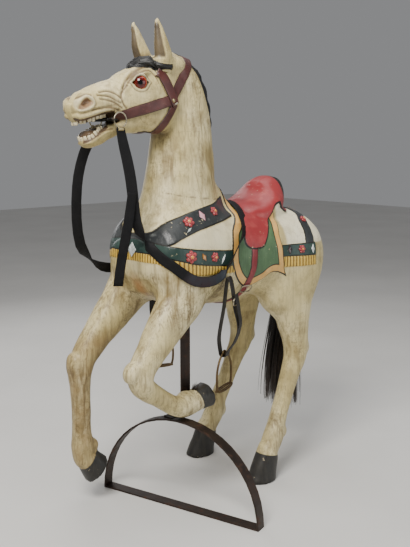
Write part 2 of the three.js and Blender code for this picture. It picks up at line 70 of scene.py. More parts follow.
# ------------------------------------------------------------------ limb stations
# (f, z, l, heading, over, under, half width, squareness), the CAD model's own stations
LIMBS = {
    "torso": [
        (-0.331, 0.735, 0, 0, 0.03, 0.035, 0.035, 2),
        (-0.314, 0.738, 0, 0, 0.072, 0.09, 0.08, 2.1),
        (-0.278, 0.735, 0, 0, 0.11, 0.14, 0.12, 2.2),
        (-0.213, 0.728, 0, 0, 0.136, 0.15, 0.147, 2.25),
        (-0.12, 0.725, 0, 0, 0.14, 0.13, 0.158, 2.25),
        (0, 0.722, 0, 0, 0.145, 0.134, 0.16, 2.25),
        (0.1, 0.728, 0, 0, 0.155, 0.147, 0.158, 2.25),
        (0.19, 0.74, 0, 0, 0.15, 0.15, 0.16, 2.25),
        (0.27, 0.752, 0, 0, 0.143, 0.148, 0.164, 2.25),
        (0.332, 0.758, 0, 0, 0.122, 0.136, 0.16, 2.25),
        (0.376, 0.758, 0, 0, 0.092, 0.112, 0.137, 2.2),
        (0.4, 0.758, 0, 0, 0.05, 0.072, 0.085, 2.1),
    ],
    "neck": [
        (0.222, 0.76, 0, 92, 0.118, 0.15, 0.125, 2.2),
        (0.222, 0.85, 0, 92, 0.113, 0.138, 0.112, 2.1),
        (0.216, 0.93, 0, 93, 0.108, 0.124, 0.095, 2.05),
        (0.211, 1.01, 0, 91, 0.106, 0.114, 0.083, 2),
        (0.209, 1.09, 0, 89, 0.098, 0.106, 0.074, 2),
        (0.213, 1.165, 0, 84, 0.09, 0.098, 0.067, 2),
        (0.23, 1.232, 0, 66, 0.08, 0.087, 0.06, 2),
        (0.265, 1.272, 0, 38, 0.058, 0.076, 0.054, 2),
        (0.312, 1.268, 0, 5, 0.045, 0.07, 0.055, 2),
    ],
    "head": [
        (0.262, 1.238, 0, -22, 0.058, 0.07, 0.052, 2.1),
        (0.3, 1.222, 0, -22, 0.08, 0.092, 0.066, 2.2),
        (0.345, 1.205, 0, -22, 0.088, 0.1, 0.07, 2.3),
        (0.395, 1.187, 0, -22, 0.086, 0.085, 0.066, 2.35),
        (0.44, 1.176, 0, -22, 0.078, 0.056, 0.056, 2.3),
        (0.49, 1.172, 0, -21, 0.065, 0.028, 0.048, 2.3),
        (0.535, 1.162, 0, -20, 0.058, 0.026, 0.046, 2.3),
        (0.568, 1.152, 0, -22, 0.05, 0.026, 0.044, 2.2),
        (0.59, 1.145, 0, -24, 0.034, 0.018, 0.033, 2),
    ],
    "jaw": [
        (0.4, 1.135, 0, -20, 0.03, 0.035, 0.05, 2.1),
        (0.445, 1.124, 0, -22, 0.022, 0.026, 0.042, 2.1),
        (0.488, 1.108, 0, -20, 0.018, 0.024, 0.036, 2.1),
        (0.525, 1.095, 0, -16, 0.018, 0.028, 0.034, 2.1),
        (0.552, 1.093, 0, -8, 0.016, 0.024, 0.028, 2),
    ],
    "ear_left": [
        (0.318, 1.27, 0.046, 92, 0.027, 0.026, 0.02, 2),
        (0.322, 1.305, 0.05, 90, 0.029, 0.029, 0.023, 2),
        (0.33, 1.34, 0.051, 86, 0.025, 0.024, 0.019, 2),
        (0.336, 1.375, 0.05, 86, 0.016, 0.016, 0.013, 2),
        (0.34, 1.405, 0.048, 86, 0.006, 0.006, 0.005, 2),
    ],
    "ear_right": [
        (0.306, 1.27, -0.044, 92, 0.029, 0.028, 0.022, 2),
        (0.315, 1.305, -0.048, 88, 0.031, 0.030, 0.023, 2),
        (0.328, 1.34, -0.05, 78, 0.027, 0.026, 0.020, 2),
        (0.338, 1.375, -0.05, 76, 0.017, 0.017, 0.014, 2),
        (0.346, 1.405, -0.05, 76, 0.006, 0.006, 0.005, 2),
    ],
    "saddle": [
        (-0.178, 0.88, 0, 0, 0.070, 0.03, 0.064, 2.6),
        (-0.168, 0.88, 0, 0, 0.081, 0.035, 0.074, 2.6),
        (-0.15, 0.876, 0, 0, 0.084, 0.04, 0.086, 2.4),
        (-0.125, 0.865, 0, 0, 0.074, 0.04, 0.098, 2.3),
        (-0.09, 0.858, 0, 0, 0.05, 0.04, 0.104, 2.2),
        (-0.05, 0.853, 0, 0, 0.034, 0.04, 0.104, 2.2),
        (-0.012, 0.853, 0, 0, 0.028, 0.04, 0.094, 2.2),
        (0.016, 0.85, 0, 0, 0.018, 0.03, 0.075, 2.1),
    ],
    "leg_front_left": [
        (0.255, 0.715, 0.085, -70, 0.085, 0.08, 0.055, 2.1),
        (0.305, 0.64, 0.105, -55, 0.072, 0.075, 0.055, 2.1),
        (0.365, 0.575, 0.112, -50, 0.058, 0.06, 0.049, 2.1),
        (0.42, 0.512, 0.115, -52, 0.045, 0.047, 0.042, 2.1),
        (0.46, 0.46, 0.116, -70, 0.038, 0.038, 0.038, 2.1),
        (0.467, 0.42, 0.116, -115, 0.036, 0.032, 0.037, 2.1),
        (0.44, 0.388, 0.115, -144, 0.032, 0.03, 0.032, 2.1),
        (0.397, 0.358, 0.114, -147, 0.028, 0.028, 0.027, 2.1),
        (0.35, 0.325, 0.113, -152, 0.028, 0.029, 0.027, 2.1),
        (0.305, 0.312, 0.112, -170, 0.033, 0.034, 0.031, 2.1),
        (0.268, 0.317, 0.111, -188, 0.032, 0.034, 0.031, 2.1),
        (0.25, 0.322, 0.111, -192, 0.035, 0.034, 0.034, 2.1),
        (0.214, 0.331, 0.111, -194, 0.042, 0.036, 0.04, 2.1),
    ],
    "leg_front_right": [
        (0.27, 0.715, -0.085, -60, 0.085, 0.08, 0.055, 2.1),
        (0.34, 0.64, -0.1, -52, 0.07, 0.074, 0.053, 2.1),
        (0.395, 0.58, -0.103, -50, 0.056, 0.06, 0.048, 2.1),
        (0.455, 0.518, -0.104, -50, 0.045, 0.047, 0.042, 2.1),
        (0.502, 0.462, -0.105, -62, 0.038, 0.04, 0.038, 2.1),
        (0.519, 0.42, -0.105, -82, 0.036, 0.034, 0.037, 2.1),
        (0.521, 0.37, -0.105, -90, 0.03, 0.03, 0.031, 2.1),
        (0.521, 0.3, -0.105, -91, 0.027, 0.029, 0.027, 2.1),
        (0.521, 0.23, -0.105, -90, 0.028, 0.03, 0.027, 2.1),
        (0.519, 0.185, -0.105, -98, 0.034, 0.037, 0.031, 2.1),
        (0.514, 0.15, -0.105, -118, 0.033, 0.032, 0.03, 2.1),
        (0.5, 0.135, -0.105, -130, 0.037, 0.036, 0.035, 2.1),
        (0.468, 0.104, -0.105, -138, 0.054, 0.038, 0.042, 2.1),
    ],
    "leg_hind_left": [
        (-0.215, 0.72, 0.08, -80, 0.12, 0.088, 0.066, 2.2),
        (-0.195, 0.64, 0.1, -82, 0.112, 0.083, 0.064, 2.2),
        (-0.18, 0.56, 0.11, -85, 0.092, 0.064, 0.056, 2.1),
        (-0.178, 0.49, 0.117, -92, 0.068, 0.05, 0.046, 2.1),
        (-0.18, 0.43, 0.122, -90, 0.05, 0.044, 0.038, 2.1),
        (-0.172, 0.38, 0.127, -72, 0.04, 0.046, 0.034, 2.1),
        (-0.145, 0.325, 0.131, -62, 0.032, 0.036, 0.03, 2.1),
        (-0.112, 0.255, 0.135, -64, 0.028, 0.029, 0.027, 2.1),
        (-0.08, 0.19, 0.139, -64, 0.029, 0.03, 0.027, 2.1),
        (-0.056, 0.135, 0.142, -62, 0.034, 0.036, 0.031, 2.1),
        (-0.034, 0.1, 0.144, -56, 0.032, 0.034, 0.031, 2.1),
        (-0.024, 0.085, 0.145, -60, 0.036, 0.036, 0.034, 2.1),
        (0.004, -0.012, 0.146, -74, 0.056, 0.048, 0.043, 2.1),
    ],
}
LIMBS["leg_hind_right"] = [(f, z, -l, t, a, b, w, n) for f, z, l, t, a, b, w, n in LIMBS["leg_hind_left"]]
# how softly each limb runs into the rest, and how far each of its two ends domes out
SOFT = {"torso": (0, .012, .016), "neck": (.045, .0, .012), "head": (.022, .012, .010), "jaw": (.012, .004, .010),
        "ear_left": (.010, .004, .006), "ear_right": (.010, .004, .006), "saddle": (.022, .006, .008),
        "leg_front_left": (.040, .004, .002), "leg_front_right": (.040, .004, .002),
        "leg_hind_left": (.045, .004, .002), "leg_hind_right": (.045, .004, .002)}
ORDER = ["torso", "neck", "leg_front_left", "leg_front_right", "leg_hind_left", "leg_hind_right", "head", "jaw",
         "ear_left", "ear_right", "saddle"]
FLAT_END = {"leg_front_left", "leg_front_right", "leg_hind_left", "leg_hind_right"}


def spline(rows, k):
    P = np.asarray(rows, float)
    n = len(P)
    out = []
    for i in range(n - 1):
        p0, p1, p2, p3 = P[max(i - 1, 0)], P[i], P[i + 1], P[min(i + 2, n - 1)]
        for j in range(k):
            t = j / k
            out.append(0.5 * (2 * p1 + (p2 - p0) * t + (2 * p0 - 5 * p1 + 4 * p2 - p3) * t * t
                              + (3 * p1 - p0 - 3 * p2 + p3) * t ** 3))
    out.append(P[-1])
    return np.array(out)


MAP_STEP = 0.0025
F0, F1, Z0, Z1 = -0.40, 0.66, -0.03, 1.46


class Limb:
    """Side-view maps of one limb: for every (f, z), the nearest station's facts."""

    def __init__(self, name):
        self.name = name
        S = spline(LIMBS[name], 5)
        self.k, self.c0, self.c1 = SOFT[name]
        self.flat = name in FLAT_END
        reach = max(S[:, 4].max(), S[:, 5].max(), S[:, 6].max()) + 0.05
        self.f0, self.f1 = S[:, 0].min() - reach, S[:, 0].max() + reach
        self.z0, self.z1 = S[:, 1].min() - reach, S[:, 1].max() + reach
        self.l0, self.l1 = (S[:, 2] - S[:, 6]).min() - .06, (S[:, 2] + S[:, 6]).max() + .06
        nf = int((self.f1 - self.f0) / MAP_STEP) + 2
        nz = int((self.z1 - self.z0) / MAP_STEP) + 2
        f = self.f0 + np.arange(nf) * MAP_STEP
        z = self.z0 + np.arange(nz) * MAP_STEP
        Fg, Zg = np.meshgrid(f, z, indexing="ij")
        best = np.full(Fg.shape, 1e9)
        M = {k: np.zeros(Fg.shape) for k in ("q", "e", "l", "ab", "w", "n", "s")}
        seg = np.hypot(np.diff(S[:, 0]), np.diff(S[:, 1]))
        cum = np.concatenate([[0], np.cumsum(seg)])
        self.length = cum[-1]
        last = len(S) - 2
        for i in range(len(S) - 1):
            a, b = S[i], S[i + 1]
            d = b[:2] - a[:2]
            L2 = max(float(d @ d), 1e-12)
            t = ((Fg - a[0]) * d[0] + (Zg - a[1]) * d[1]) / L2
            tc = np.clip(t, 0, 1)
            pf, pz = a[0] + d[0] * tc, a[1] + d[1] * tc
            dist = (Fg - pf) ** 2 + (Zg - pz) ** 2
            m = dist < best
            best[m] = dist[m]
            tm = tc[m]
            h = np.radians(a[3] + (b[3] - a[3]) * tm)
            # section plane follows the mean of the stated heading and the run of the path
            run = math.atan2(d[1], d[0])
            run += 2 * math.pi * np.round((h - run) / (2 * math.pi))
            h = h * 0.6 + run * 0.4
            df, dz = (Fg - pf)[m], (Zg - pz)[m]
            q = -np.sin(h) * df + np.cos(h) * dz
            along = np.cos(h) * df + np.sin(h) * dz
            over = a[4] + (b[4] - a[4]) * tm
            under = a[5] + (b[5] - a[5]) * tm
            M["q"][m] = q
            e = np.zeros_like(q)
            if i == 0:
                e = np.where(t[m] < 0, np.minimum(along, 0), e)
            if i == last:
                e = np.where(t[m] > 1, np.maximum(along, 0), e)
            # inside the run the offset is all across, whatever the heading says
            mid = e == 0
            full = np.sqrt(dist[m])
            M["q"][m] = np.where(mid, np.sign(q) * full, q)
            M["e"][m] = e
            M["l"][m] = a[2] + (b[2] - a[2]) * tm
            M["ab"][m] = np.where(q >= 0, over, under)
            M["w"][m] = a[6] + (b[6] - a[6]) * tm
            M["n"][m] = a[7] + (b[7] - a[7]) * tm
            M["s"][m] = cum[i] + seg[i] * tm
        self.keys = list(M)
        self.maps = np.stack([M[k] for k in self.keys], -1)

    def look(self, F, Z):
        u = np.clip((F - self.f0) / MAP_STEP, 0, self.maps.shape[0] - 1.001)
        v = np.clip((Z - self.z0) / MAP_STEP, 0, self.maps.shape[1] - 1.001)
        i, j = u.astype(int), v.astype(int)
        a, b = (u - i)[..., None], (v - j)[..., None]
        m = self.maps
        r = (m[i, j] * (1 - a) * (1 - b) + m[i + 1, j] * a * (1 - b) + m[i, j + 1] * (1 - a) * b + m[i + 1, j + 1] * a * b)
        return {k: r[..., n] for n, k in enumerate(self.keys)}

    def dist(self, g, L):
        x = L - g["l"]
        q, n = g["q"], g["n"]
        gg = (np.abs(x) / g["w"]) ** n + (np.abs(q) / g["ab"]) ** n
        c = np.where(g["e"] < 0, self.c0, self.c1) + 1e-4
        e = np.abs(g["e"])
        if self.flat:
            rho = np.sqrt(x * x + q * q) + 1e-9
            side = rho * (1 - 1 / np.maximum(gg ** (1 / n), 1e-3))
            top = (gg ** (2 / n) + (e / .075) ** 2) ** 0.5
            rho3 = np.sqrt(x * x + q * q + e * e) + 1e-9
            top = rho3 * (1 - 1 / np.maximum(top, 1e-3))
            return np.where(g["e"] > 0, np.maximum(side, e - 0.0005), np.where(g["e"] < 0, top, side))
        gg = (gg ** (2 / n) + (e / c) ** 2) ** 0.5
        rho = np.sqrt(x * x + q * q + e * e) + 1e-9
        return rho * (1 - 1 / np.maximum(gg, 1e-3))


limbs = {n: Limb(n) for n in ORDER}


def smin(a, b, k):
    if k <= 0:
        return np.minimum(a, b)
    h = np.maximum(k - np.abs(a - b), 0) / k
    return np.minimum(a, b) - h * h * k * 0.25


def smax(a, b, k):
    return -smin(-a, -b, k)


# extra carved masses and hollows: (kind, f, |l| or l, z, rf, rl, rz, turn, softness, both sides)
BLOBS = [
    # body muscles
    ("add", .300, .108, .700, .085, .046, .085, 30, .022, 1),     # shoulders
    ("add", .362, .070, .735, .050, .050, .060, 0, .030, 1),      # breast
    ("add", -.200, .085, .700, .110, .074, .120, 10, .050, 1),    # thighs
    ("add", -.100, .100, .600, .060, .052, .070, 0, .045, 1),     # stifles
    ("add", .075, .0, .845, .085, .050, .040, -8, .040, 0),       # withers
    ("add", .120, .0, .900, .060, .046, .060, -35, .040, 0),      # neck root
    # hocks and knees
    ("add", -.214, .124, .402, .022, .020, .032, -25, .018, 1),
    ("add", .503, .118, .455, .020, .026, .030, 30, .014, 2),
    ("add", .545, .105, .440, .014, .026, .032, 0, .014, 3),
    # fetlock backs
    ("add", -.092, .142, .140, .018, .020, .022, 0, .014, 1),
    ("add", .484, .105, .178, .018, .020, .020, 0, .012, 3),
    ("add", .300, .112, .344, .022, .020, .012, 0, .012, 2),
    # head
    ("add", .345, .040, 1.165, .066, .030, .062, 0, .020, 1),     # jowls
    ("add", .398, .046, 1.256, .036, .015, .011, -20, .010, 1),   # brows
    ("add", .452, .038, 1.196, .050, .010, .007, -26, .010, 1),   # face ridges
    ("add", .570, .027, 1.178, .026, .017, .019, -24, .008, 1),   # nostril flares
    ("add", .574, .0, 1.148, .020, .028, .012, 0, .008, 0),       # upper lip
    ("add", .340, .004, 1.291, .046, .044, .020, -16, .010, 0),    # forelock
    ("add", .548, .0, 1.078, .022, .026, .016, 0, .012, 0),       # chin
    ("add", .280, .038, 1.290, .040, .026, .022, 0, .018, 1),     # behind the ears
    ("sub", .5740, .046, 1.1785, .0178, .0170, .0105, -30, .004, 1),   # nostrils
    ("sub", .413, .076, 1.2350, .0300, .0165, .0200, -14, .008, 1),   # eye hollows
    ("sub", .470, .0, 1.134, .060, .030, .006, -20, .006, 0),     # mouth corner
]


def blob(F, L, Z, b):
    kind, f, l, z, rf, rl, rz, turn, k, both = b
    if both == 1:
        x = np.abs(L) - l
    elif both == 3:
        x = -L - l
    else:
        x = L - l
    t = math.radians(turn)
    df, dz = F - f, Z - z
    u = math.cos(t) * df + math.sin(t) * dz
    v = -math.sin(t) * df + math.cos(t) * dz
    r = np.sqrt(u * u + x * x + v * v) + 1e-9
    g = np.sqrt((u / rf) ** 2 + (x / rl) ** 2 + (v / rz) ** 2) + 1e-6
    return r * (1 - 1 / g)


def base_field(F, L, Z, D=None):
    """Distance to the carved body at points."""
    out = np.full(F.shape, 1.0)
    for n in ORDER:
        lb = limbs[n]
        m = (F > lb.f0) & (F < lb.f1) & (Z > lb.z0) & (Z < lb.z1) & (L > lb.l0) & (L < lb.l1)
        if not m.any():
            continue
        g = lb.look(F[m], Z[m])
        out[m] = smin(out[m], lb.dist(g, L[m]), lb.k)
    for b in BLOBS:
        r = max(b[4:7]) + 0.05
        lab = np.abs(L) if b[9] == 1 else (-L if b[9] == 3 else L)
        m = (np.abs(F - b[1]) < r) & (np.abs(Z - b[3]) < r) & (np.abs(lab - b[2]) < r)
        if not m.any():
            continue
        d = blob(F[m], L[m], Z[m], b)
        out[m] = smin(out[m], d, b[8]) if b[0] == "add" else smax(out[m], -d, b[8])
    return np.maximum(out, -Z)
# ------------------------------------------------------------------ surface from the field
def grid_field(fs, ls, zs):
    D = np.full((len(fs), len(ls), len(zs)), 1.0)

    def span(a, lo, hi):
        return slice(int(np.searchsorted(a, lo)), int(np.searchsorted(a, hi)))

    for n in ORDER:
        lb = limbs[n]
        i, j, k = span(fs, lb.f0, lb.f1), span(ls, lb.l0, lb.l1), span(zs, lb.z0, lb.z1)
        Fg, Zg = np.meshgrid(fs[i], zs[k], indexing="ij")
        g = {a: b[:, None, :] for a, b in lb.look(Fg, Zg).items()}
        d = lb.dist(g, ls[j][None, :, None])
        D[i, j, k] = smin(D[i, j, k], d, lb.k)
    for b in BLOBS:
        r = max(b[4:7]) + 0.05
        i, k = span(fs, b[1] - r, b[1] + r), span(zs, b[3] - r, b[3] + r)
        if b[9] == 1:
            j = span(ls, -b[2] - r, b[2] + r)
        elif b[9] == 3:
            j = span(ls, -b[2] - r, -b[2] + r)
        else:
            j = span(ls, b[2] - r, b[2] + r)
        d = blob(fs[i][:, None, None], ls[j][None, :, None], zs[k][None, None, :], b)
        D[i, j, k] = smin(D[i, j, k], d, b[8]) if b[0] == "add" else smax(D[i, j, k], -d, b[8])
    return np.maximum(D, -zs[None, None, :])


def surface_nets(D, org, h):
    s = D < 0
    c = [s[a:s.shape[0] - 1 + a, b:s.shape[1] - 1 + b, d:s.shape[2] - 1 + d] for a in (0, 1) for b in (0, 1) for d in (0, 1)]
    anyin = c[0].copy()
    allin = c[0].copy()
    for m in c[1:]:
        anyin |= m
        allin &= m
    cells = np.argwhere(anyin & ~allin)
    idx = np.full(anyin.shape, -1, np.int64)
    idx[tuple(cells.T)] = np.arange(len(cells))
    i, j, k = cells.T
    V = np.zeros((len(cells), 3))
    cnt = np.zeros(len(cells))
    for ax in range(3):
        o1, o2 = [a for a in range(3) if a != ax]
        for p in (0, 1):
            for q in (0, 1):
                a = [i, j, k]
                a = [x.copy() for x in a]
                a[o1] = a[o1] + p
                a[o2] = a[o2] + q
                b = [x.copy() for x in a]
                b[ax] = b[ax] + 1
                d0, d1 = D[tuple(a)], D[tuple(b)]
                m = (d0 < 0) != (d1 < 0)
                t = np.where(m, d0 / np.where(m, d0 - d1, 1), 0)
                V[:, ax] += np.where(m, t, 0)
                V[:, o1] += np.where(m, p, 0)
                V[:, o2] += np.where(m, q, 0)
                cnt += m
    V = (V / cnt[:, None] + cells) * h + org
    quads = []
    for ax in range(3):
        o1, o2 = (ax + 1) % 3, (ax + 2) % 3
        sl0 = [slice(None)] * 3
        sl1 = [slice(None)] * 3
        sl0[ax], sl1[ax] = slice(0, -1), slice(1, None)
        m = s[tuple(sl0)] != s[tuple(sl1)]
        e = np.argwhere(m)
        e = e[(e[:, o1] > 0) & (e[:, o2] > 0) & (e[:, o1] < D.shape[o1] - 1) & (e[:, o2] < D.shape[o2] - 1)]
        inside0 = s[tuple(e.T)]
        ids = []
        for p, q in ((1, 1), (0, 1), (0, 0), (1, 0)):
            c2 = e.copy()
            c2[:, o1] -= p
            c2[:, o2] -= q
            ids.append(idx[tuple(c2.T)])
        Q = np.stack(ids, 1)
        Q[~inside0] = Q[~inside0][:, ::-1]
        quads.append(Q)
    return V, np.concatenate(quads)


def gradient(fn, P, h=0.0012):
    G = np.zeros_like(P)
    for a in range(3):
        d = np.zeros(3)
        d[a] = h
        G[:, a] = (fn(*(P + d).T) - fn(*(P - d).T)) / (2 * h)
    return G


def project(fn, P, rounds=3, cap=0.004):
    for _ in range(rounds):
        D = fn(*P.T)
        G = gradient(fn, P)
        g2 = np.maximum((G * G).sum(1), 0.15)
        stepv = -(D / g2)[:, None] * G
        ln = np.linalg.norm(stepv, axis=1, keepdims=True)
        P = P + stepv * np.minimum(1, cap / np.maximum(ln, 1e-9))
    P[:, 2] = np.maximum(P[:, 2], 0)
    return P


# ------------------------------------------------------------------ painted and carved regions
def seg_dist(F, Z, pts, closed=False):
    P = np.asarray(pts, float)
    n = len(P)
    best = np.full(F.shape, 1e9)
    for i in range(n if closed else n - 1):
        a, b = P[i], P[(i + 1) % n]
        d = b - a
        t = np.clip(((F - a[0]) * d[0] + (Z - a[1]) * d[1]) / max(d @ d, 1e-12), 0, 1)
        best = np.minimum(best, np.hypot(F - a[0] - t * d[0], Z - a[1] - t * d[1]))
    return best


def smooth_line(pts, k=6, closed=False):
    P = [tuple(p) for p in pts]
    if closed:
        P = [P[-1]] + P + [P[0], P[1]]
        out = spline(P, k)
        return out[k:-k - 1]
    return spline(P, k)


def poly_sd(F, Z, pts):
    """Distance inside a side-view outline, positive inside."""
    P = np.asarray(pts, float)
    d = seg_dist(F, Z, P, True)
    ins = np.zeros(F.shape, bool)
    n = len(P)
    for i in range(n):
        x0, y0 = P[i]
        x1, y1 = P[(i + 1) % n]
        if y0 == y1:
            continue
        c = ((y0 > Z) != (y1 > Z)) & (F < (x1 - x0) * (Z - y0) / (y1 - y0) + x0)
        ins ^= c
    return np.where(ins, d, -d)


def mm(rows):
    return [(a / 1000, b / 1000) for a, b in rows]


def between(F, Z, top, bottom):
    """Distance inside a band between two lines that run fore and aft."""
    pts = list(top) + list(reversed(bottom))
    return poly_sd(F, Z, pts)


UP_TOP = smooth_line(mm([(440, 812), (404, 818), (388, 827), (361, 851), (317, 868), (268, 883), (212, 894), (161, 902), (90, 918)]))
UP_BOT = smooth_line(mm([(440, 780), (404, 784), (385, 789), (364, 798), (340, 810), (285, 827), (210, 840), (123, 852), (60, 862)]))
LO_TOP = smooth_line(mm([(440, 808), (404, 808), (394, 803), (386, 799), (362, 792), (322, 785), (268, 777), (172, 767), (120, 764)]))
LO_BOT = smooth_line(mm([(440, 772), (404, 769), (399, 765), (384, 759), (353, 751), (306, 738), (248, 729), (185, 721), (120, 716)]))
FR_BOT = smooth_line(mm([(440, 748), (400, 744), (383, 732), (350, 719), (281, 704), (193, 699), (120, 696)]))
RE_TOP = mm([(-40, 760), (-62, 759), (-140, 758), (-218, 757)])
RE_BOT = mm([(-40, 724), (-62, 722), (-140, 718), (-218, 714)])
RF_BOT = mm([(-40, 690), (-62, 688), (-140, 685), (-218, 683)])
FLAP_FRONT = smooth_line(mm([(40, 905), (61, 857), (80, 830), (99, 795), (97, 774), (78, 760), (48, 757), (21, 761), (1, 780),
                             (-36, 821), (-72, 856), (-98, 877), (-118, 884)]))
SADDLE_OUT = list(FLAP_FRONT[:-1]) + mm([(-128, 866), (-146, 852), (-164, 850), (-182, 868), (-250, 876), (-250, 1040), (60, 1040), (52, 960)])
BL_SIDE = smooth_line(mm([(78, 905), (91, 859), (135, 821), (152, 779), (157, 736), (138, 688), (105, 655), (74, 644), (50, 648), (13, 660),
                          (-17, 676), (-45, 676), (-74, 666), (-90, 656), (-84, 672), (-72, 706), (-66, 744), (-63, 790), (-79, 827), (-79, 870), (-100, 905)]))
BLANKET = list(BL_SIDE) + mm([(-180, 1040), (70, 1040)])
GIRTH = list(smooth_line(mm([(73, 785), (78, 735), (80, 702), (89, 668), (98, 632), (100, 600), (99, 540)]))) + \
    list(smooth_line(mm([(71, 540), (72, 600), (70, 632), (61, 664), (52, 698), (50, 732), (45, 785)])))
CRUP = smooth_line(mm([(-190, 905), (-197, 851), (-179, 826), (-175, 789), (-168, 745)])).tolist() + \
    list(reversed(smooth_line(mm([(-246, 905), (-236, 848), (-220, 823), (-215, 786), (-210, 745)])).tolist()))

EYE_SEEN = (EYE[0] + .0022, EYE[1] + .0042, EYE[2])
CREASES = [
    (smooth_line(mm([(441, 1233), (426, 1251), (396, 1267), (372, 1269), (357, 1254), (349, 1234)])), .0030, .0028),
    (smooth_line(mm([(459, 1219), (446, 1237), (421, 1258), (389, 1276), (360, 1279), (346, 1261), (339, 1236)])), .0028, .0030),
    (smooth_line(mm([(445, 1228), (461, 1212), (468, 1195), (462, 1178), (453, 1167)])), .0022, .0034),
    (smooth_line(mm([(530, 1206), (508, 1210), (485, 1204), (470, 1193)])), .0020, .0026),
    (smooth_line(mm([(537, 1198), (506, 1196), (483, 1186), (470, 1180)])), .0020, .0026),
    (smooth_line(mm([(532, 1189), (503, 1185), (483, 1178), (467, 1167)])), .0018, .0026),
    (smooth_line(mm([(558, 1160), (530, 1165), (503, 1168), (476, 1162)])), .0020, .0028),
    (smooth_line(mm([(596, 1186), (584, 1193), (570, 1199), (556, 1197)])), .0016, .0028),
    (smooth_line(mm([(540, 1110), (515, 1108), (488, 1113)])), .0014, .0028),
]
NOSTRIL = smooth_line(mm([(593, 1170), (586, 1183), (572, 1192), (559, 1186), (556, 1176), (574, 1164), (591, 1161)]), 6, True)
LIP_UP = smooth_line(mm([(596, 1140), (587, 1137), (576, 1140), (549, 1148), (521, 1156), (486, 1162)]))
LIP_LO = smooth_line(mm([(566, 1078), (550, 1081), (528, 1096), (492, 1118)]))
FORELOCK_TOP = smooth_line(mm([(300, -30), (340, -44), (378, -38), (402, -14), (406, 6), (394, 22), (378, 34), (362, 52), (350, 68), (330, 80),
                               (308, 78), (300, 60), (302, 36), (298, 0)]), 5, True)

def step(x, a, b):
    t = np.clip((x - a) / (b - a), 0, 1)
    return t * t * (3 - 2 * t)


def wave(x):
    return np.abs(np.sin(np.pi * x))


def noise3(P, scale, seed):
    """Cheap smooth value noise."""
    p = P * scale + seed * 17.13
    i = np.floor(p).astype(np.int64)
    f = p - i
    f = f * f * (3 - 2 * f)
    out = np.zeros(len(P))
    for a in (0, 1):
        for b in (0, 1):
            for c in (0, 1):
                h = (i[:, 0] + a) * 374761393 + (i[:, 1] + b) * 668265263 + (i[:, 2] + c) * 2147483647 + seed * 1442695
                h = (h ^ (h >> 13)) * 1274126177
                h = ((h ^ (h >> 16)) & 0xFFFFFF) / 0xFFFFFF
                w = (f[:, 0] if a else 1 - f[:, 0]) * (f[:, 1] if b else 1 - f[:, 1]) * (f[:, 2] if c else 1 - f[:, 2])
                out += w * h
    return out * 2 - 1


def mane_locks(P):
    """Carved locks lying on the right side of the neck: height and how far inside."""
    F, L, Z = P.T
    # crest line, from poll to withers
    crest = smooth_line(mm([(318, 1306), (262, 1306), (215, 1275), (160, 1205), (128, 1120), (108, 1030), (96, 960), (92, 925)]), 8)
    d = seg_dist(F, Z, crest)
    S = np.asarray(crest)
    cum = np.concatenate([[0], np.cumsum(np.hypot(*np.diff(S, axis=0).T))])
    best = np.full(len(P), 1e9)
    s = np.zeros(len(P))
    for i in range(len(S) - 1):
        a, b = S[i], S[i + 1]
        dd = b - a
        t = np.clip(((F - a[0]) * dd[0] + (Z - a[1]) * dd[1]) / max(dd @ dd, 1e-12), 0, 1)
        q = np.hypot(F - a[0] - t * dd[0], Z - a[1] - t * dd[1])
        m = q < best
        best[m] = q[m]
        s[m] = cum[i] + t[m] * (cum[i + 1] - cum[i])
    # distance down the right side from the crest, measured round the surface
    down = best * .78 + np.maximum(0, -L) * .55
    lean = s - down * 0.55
    lock = lean / 0.052
    reach = 0.105 + 0.030 * np.sin(lock * 2.1 + 1) - 0.055 * (np.abs((lock % 1) - 0.5) * 2) ** 2
    inside = reach - down
    inside = np.minimum(inside, (s - 0.03) * 1.0 + 0.02)
    inside = np.minimum(inside, cum[-1] - s - 0.002)
    rim = np.interp(Z, [.90, 1.00, 1.08, 1.13, 1.22, 1.29, 1.32], [-.004, -.004, .012, .040, .050, .040, .012])
    inside = np.where(L > rim, rim - L, np.where(L > -.03, np.minimum(np.maximum(inside, rim - L), rim - L), inside))
    inside = np.where(best > np.where(L > -.02, .052, .112), -1, inside)
    return inside, lean, down


EYE_AXIS = np.array([.42, .9075, 0.0])
EYE_OPEN = .0182


def eye_opening(P):
    """Distance inside the opening between the lids, round with a short point at each corner."""
    Q = np.stack([P[:, 0], np.abs(P[:, 1]), P[:, 2]], 1) - np.array(EYE_SEEN)
    u = Q[:, 0] * EYE_AXIS[1] - Q[:, 1] * EYE_AXIS[0]
    v = Q[:, 2]
    r = np.hypot(u, v)
    th = np.arctan2(v, u)
    ro = EYE_OPEN - .0012 * np.abs(np.sin(th)) ** 3
    ro = ro + .0062 * np.exp(-((th + .04) / .20) ** 2) + .0058 * np.exp(-((math.pi - np.abs(th + .0)) / .20) ** 2)
    return np.where((Q @ EYE_AXIS > -.004) & (r < .05), ro - r, -.05)


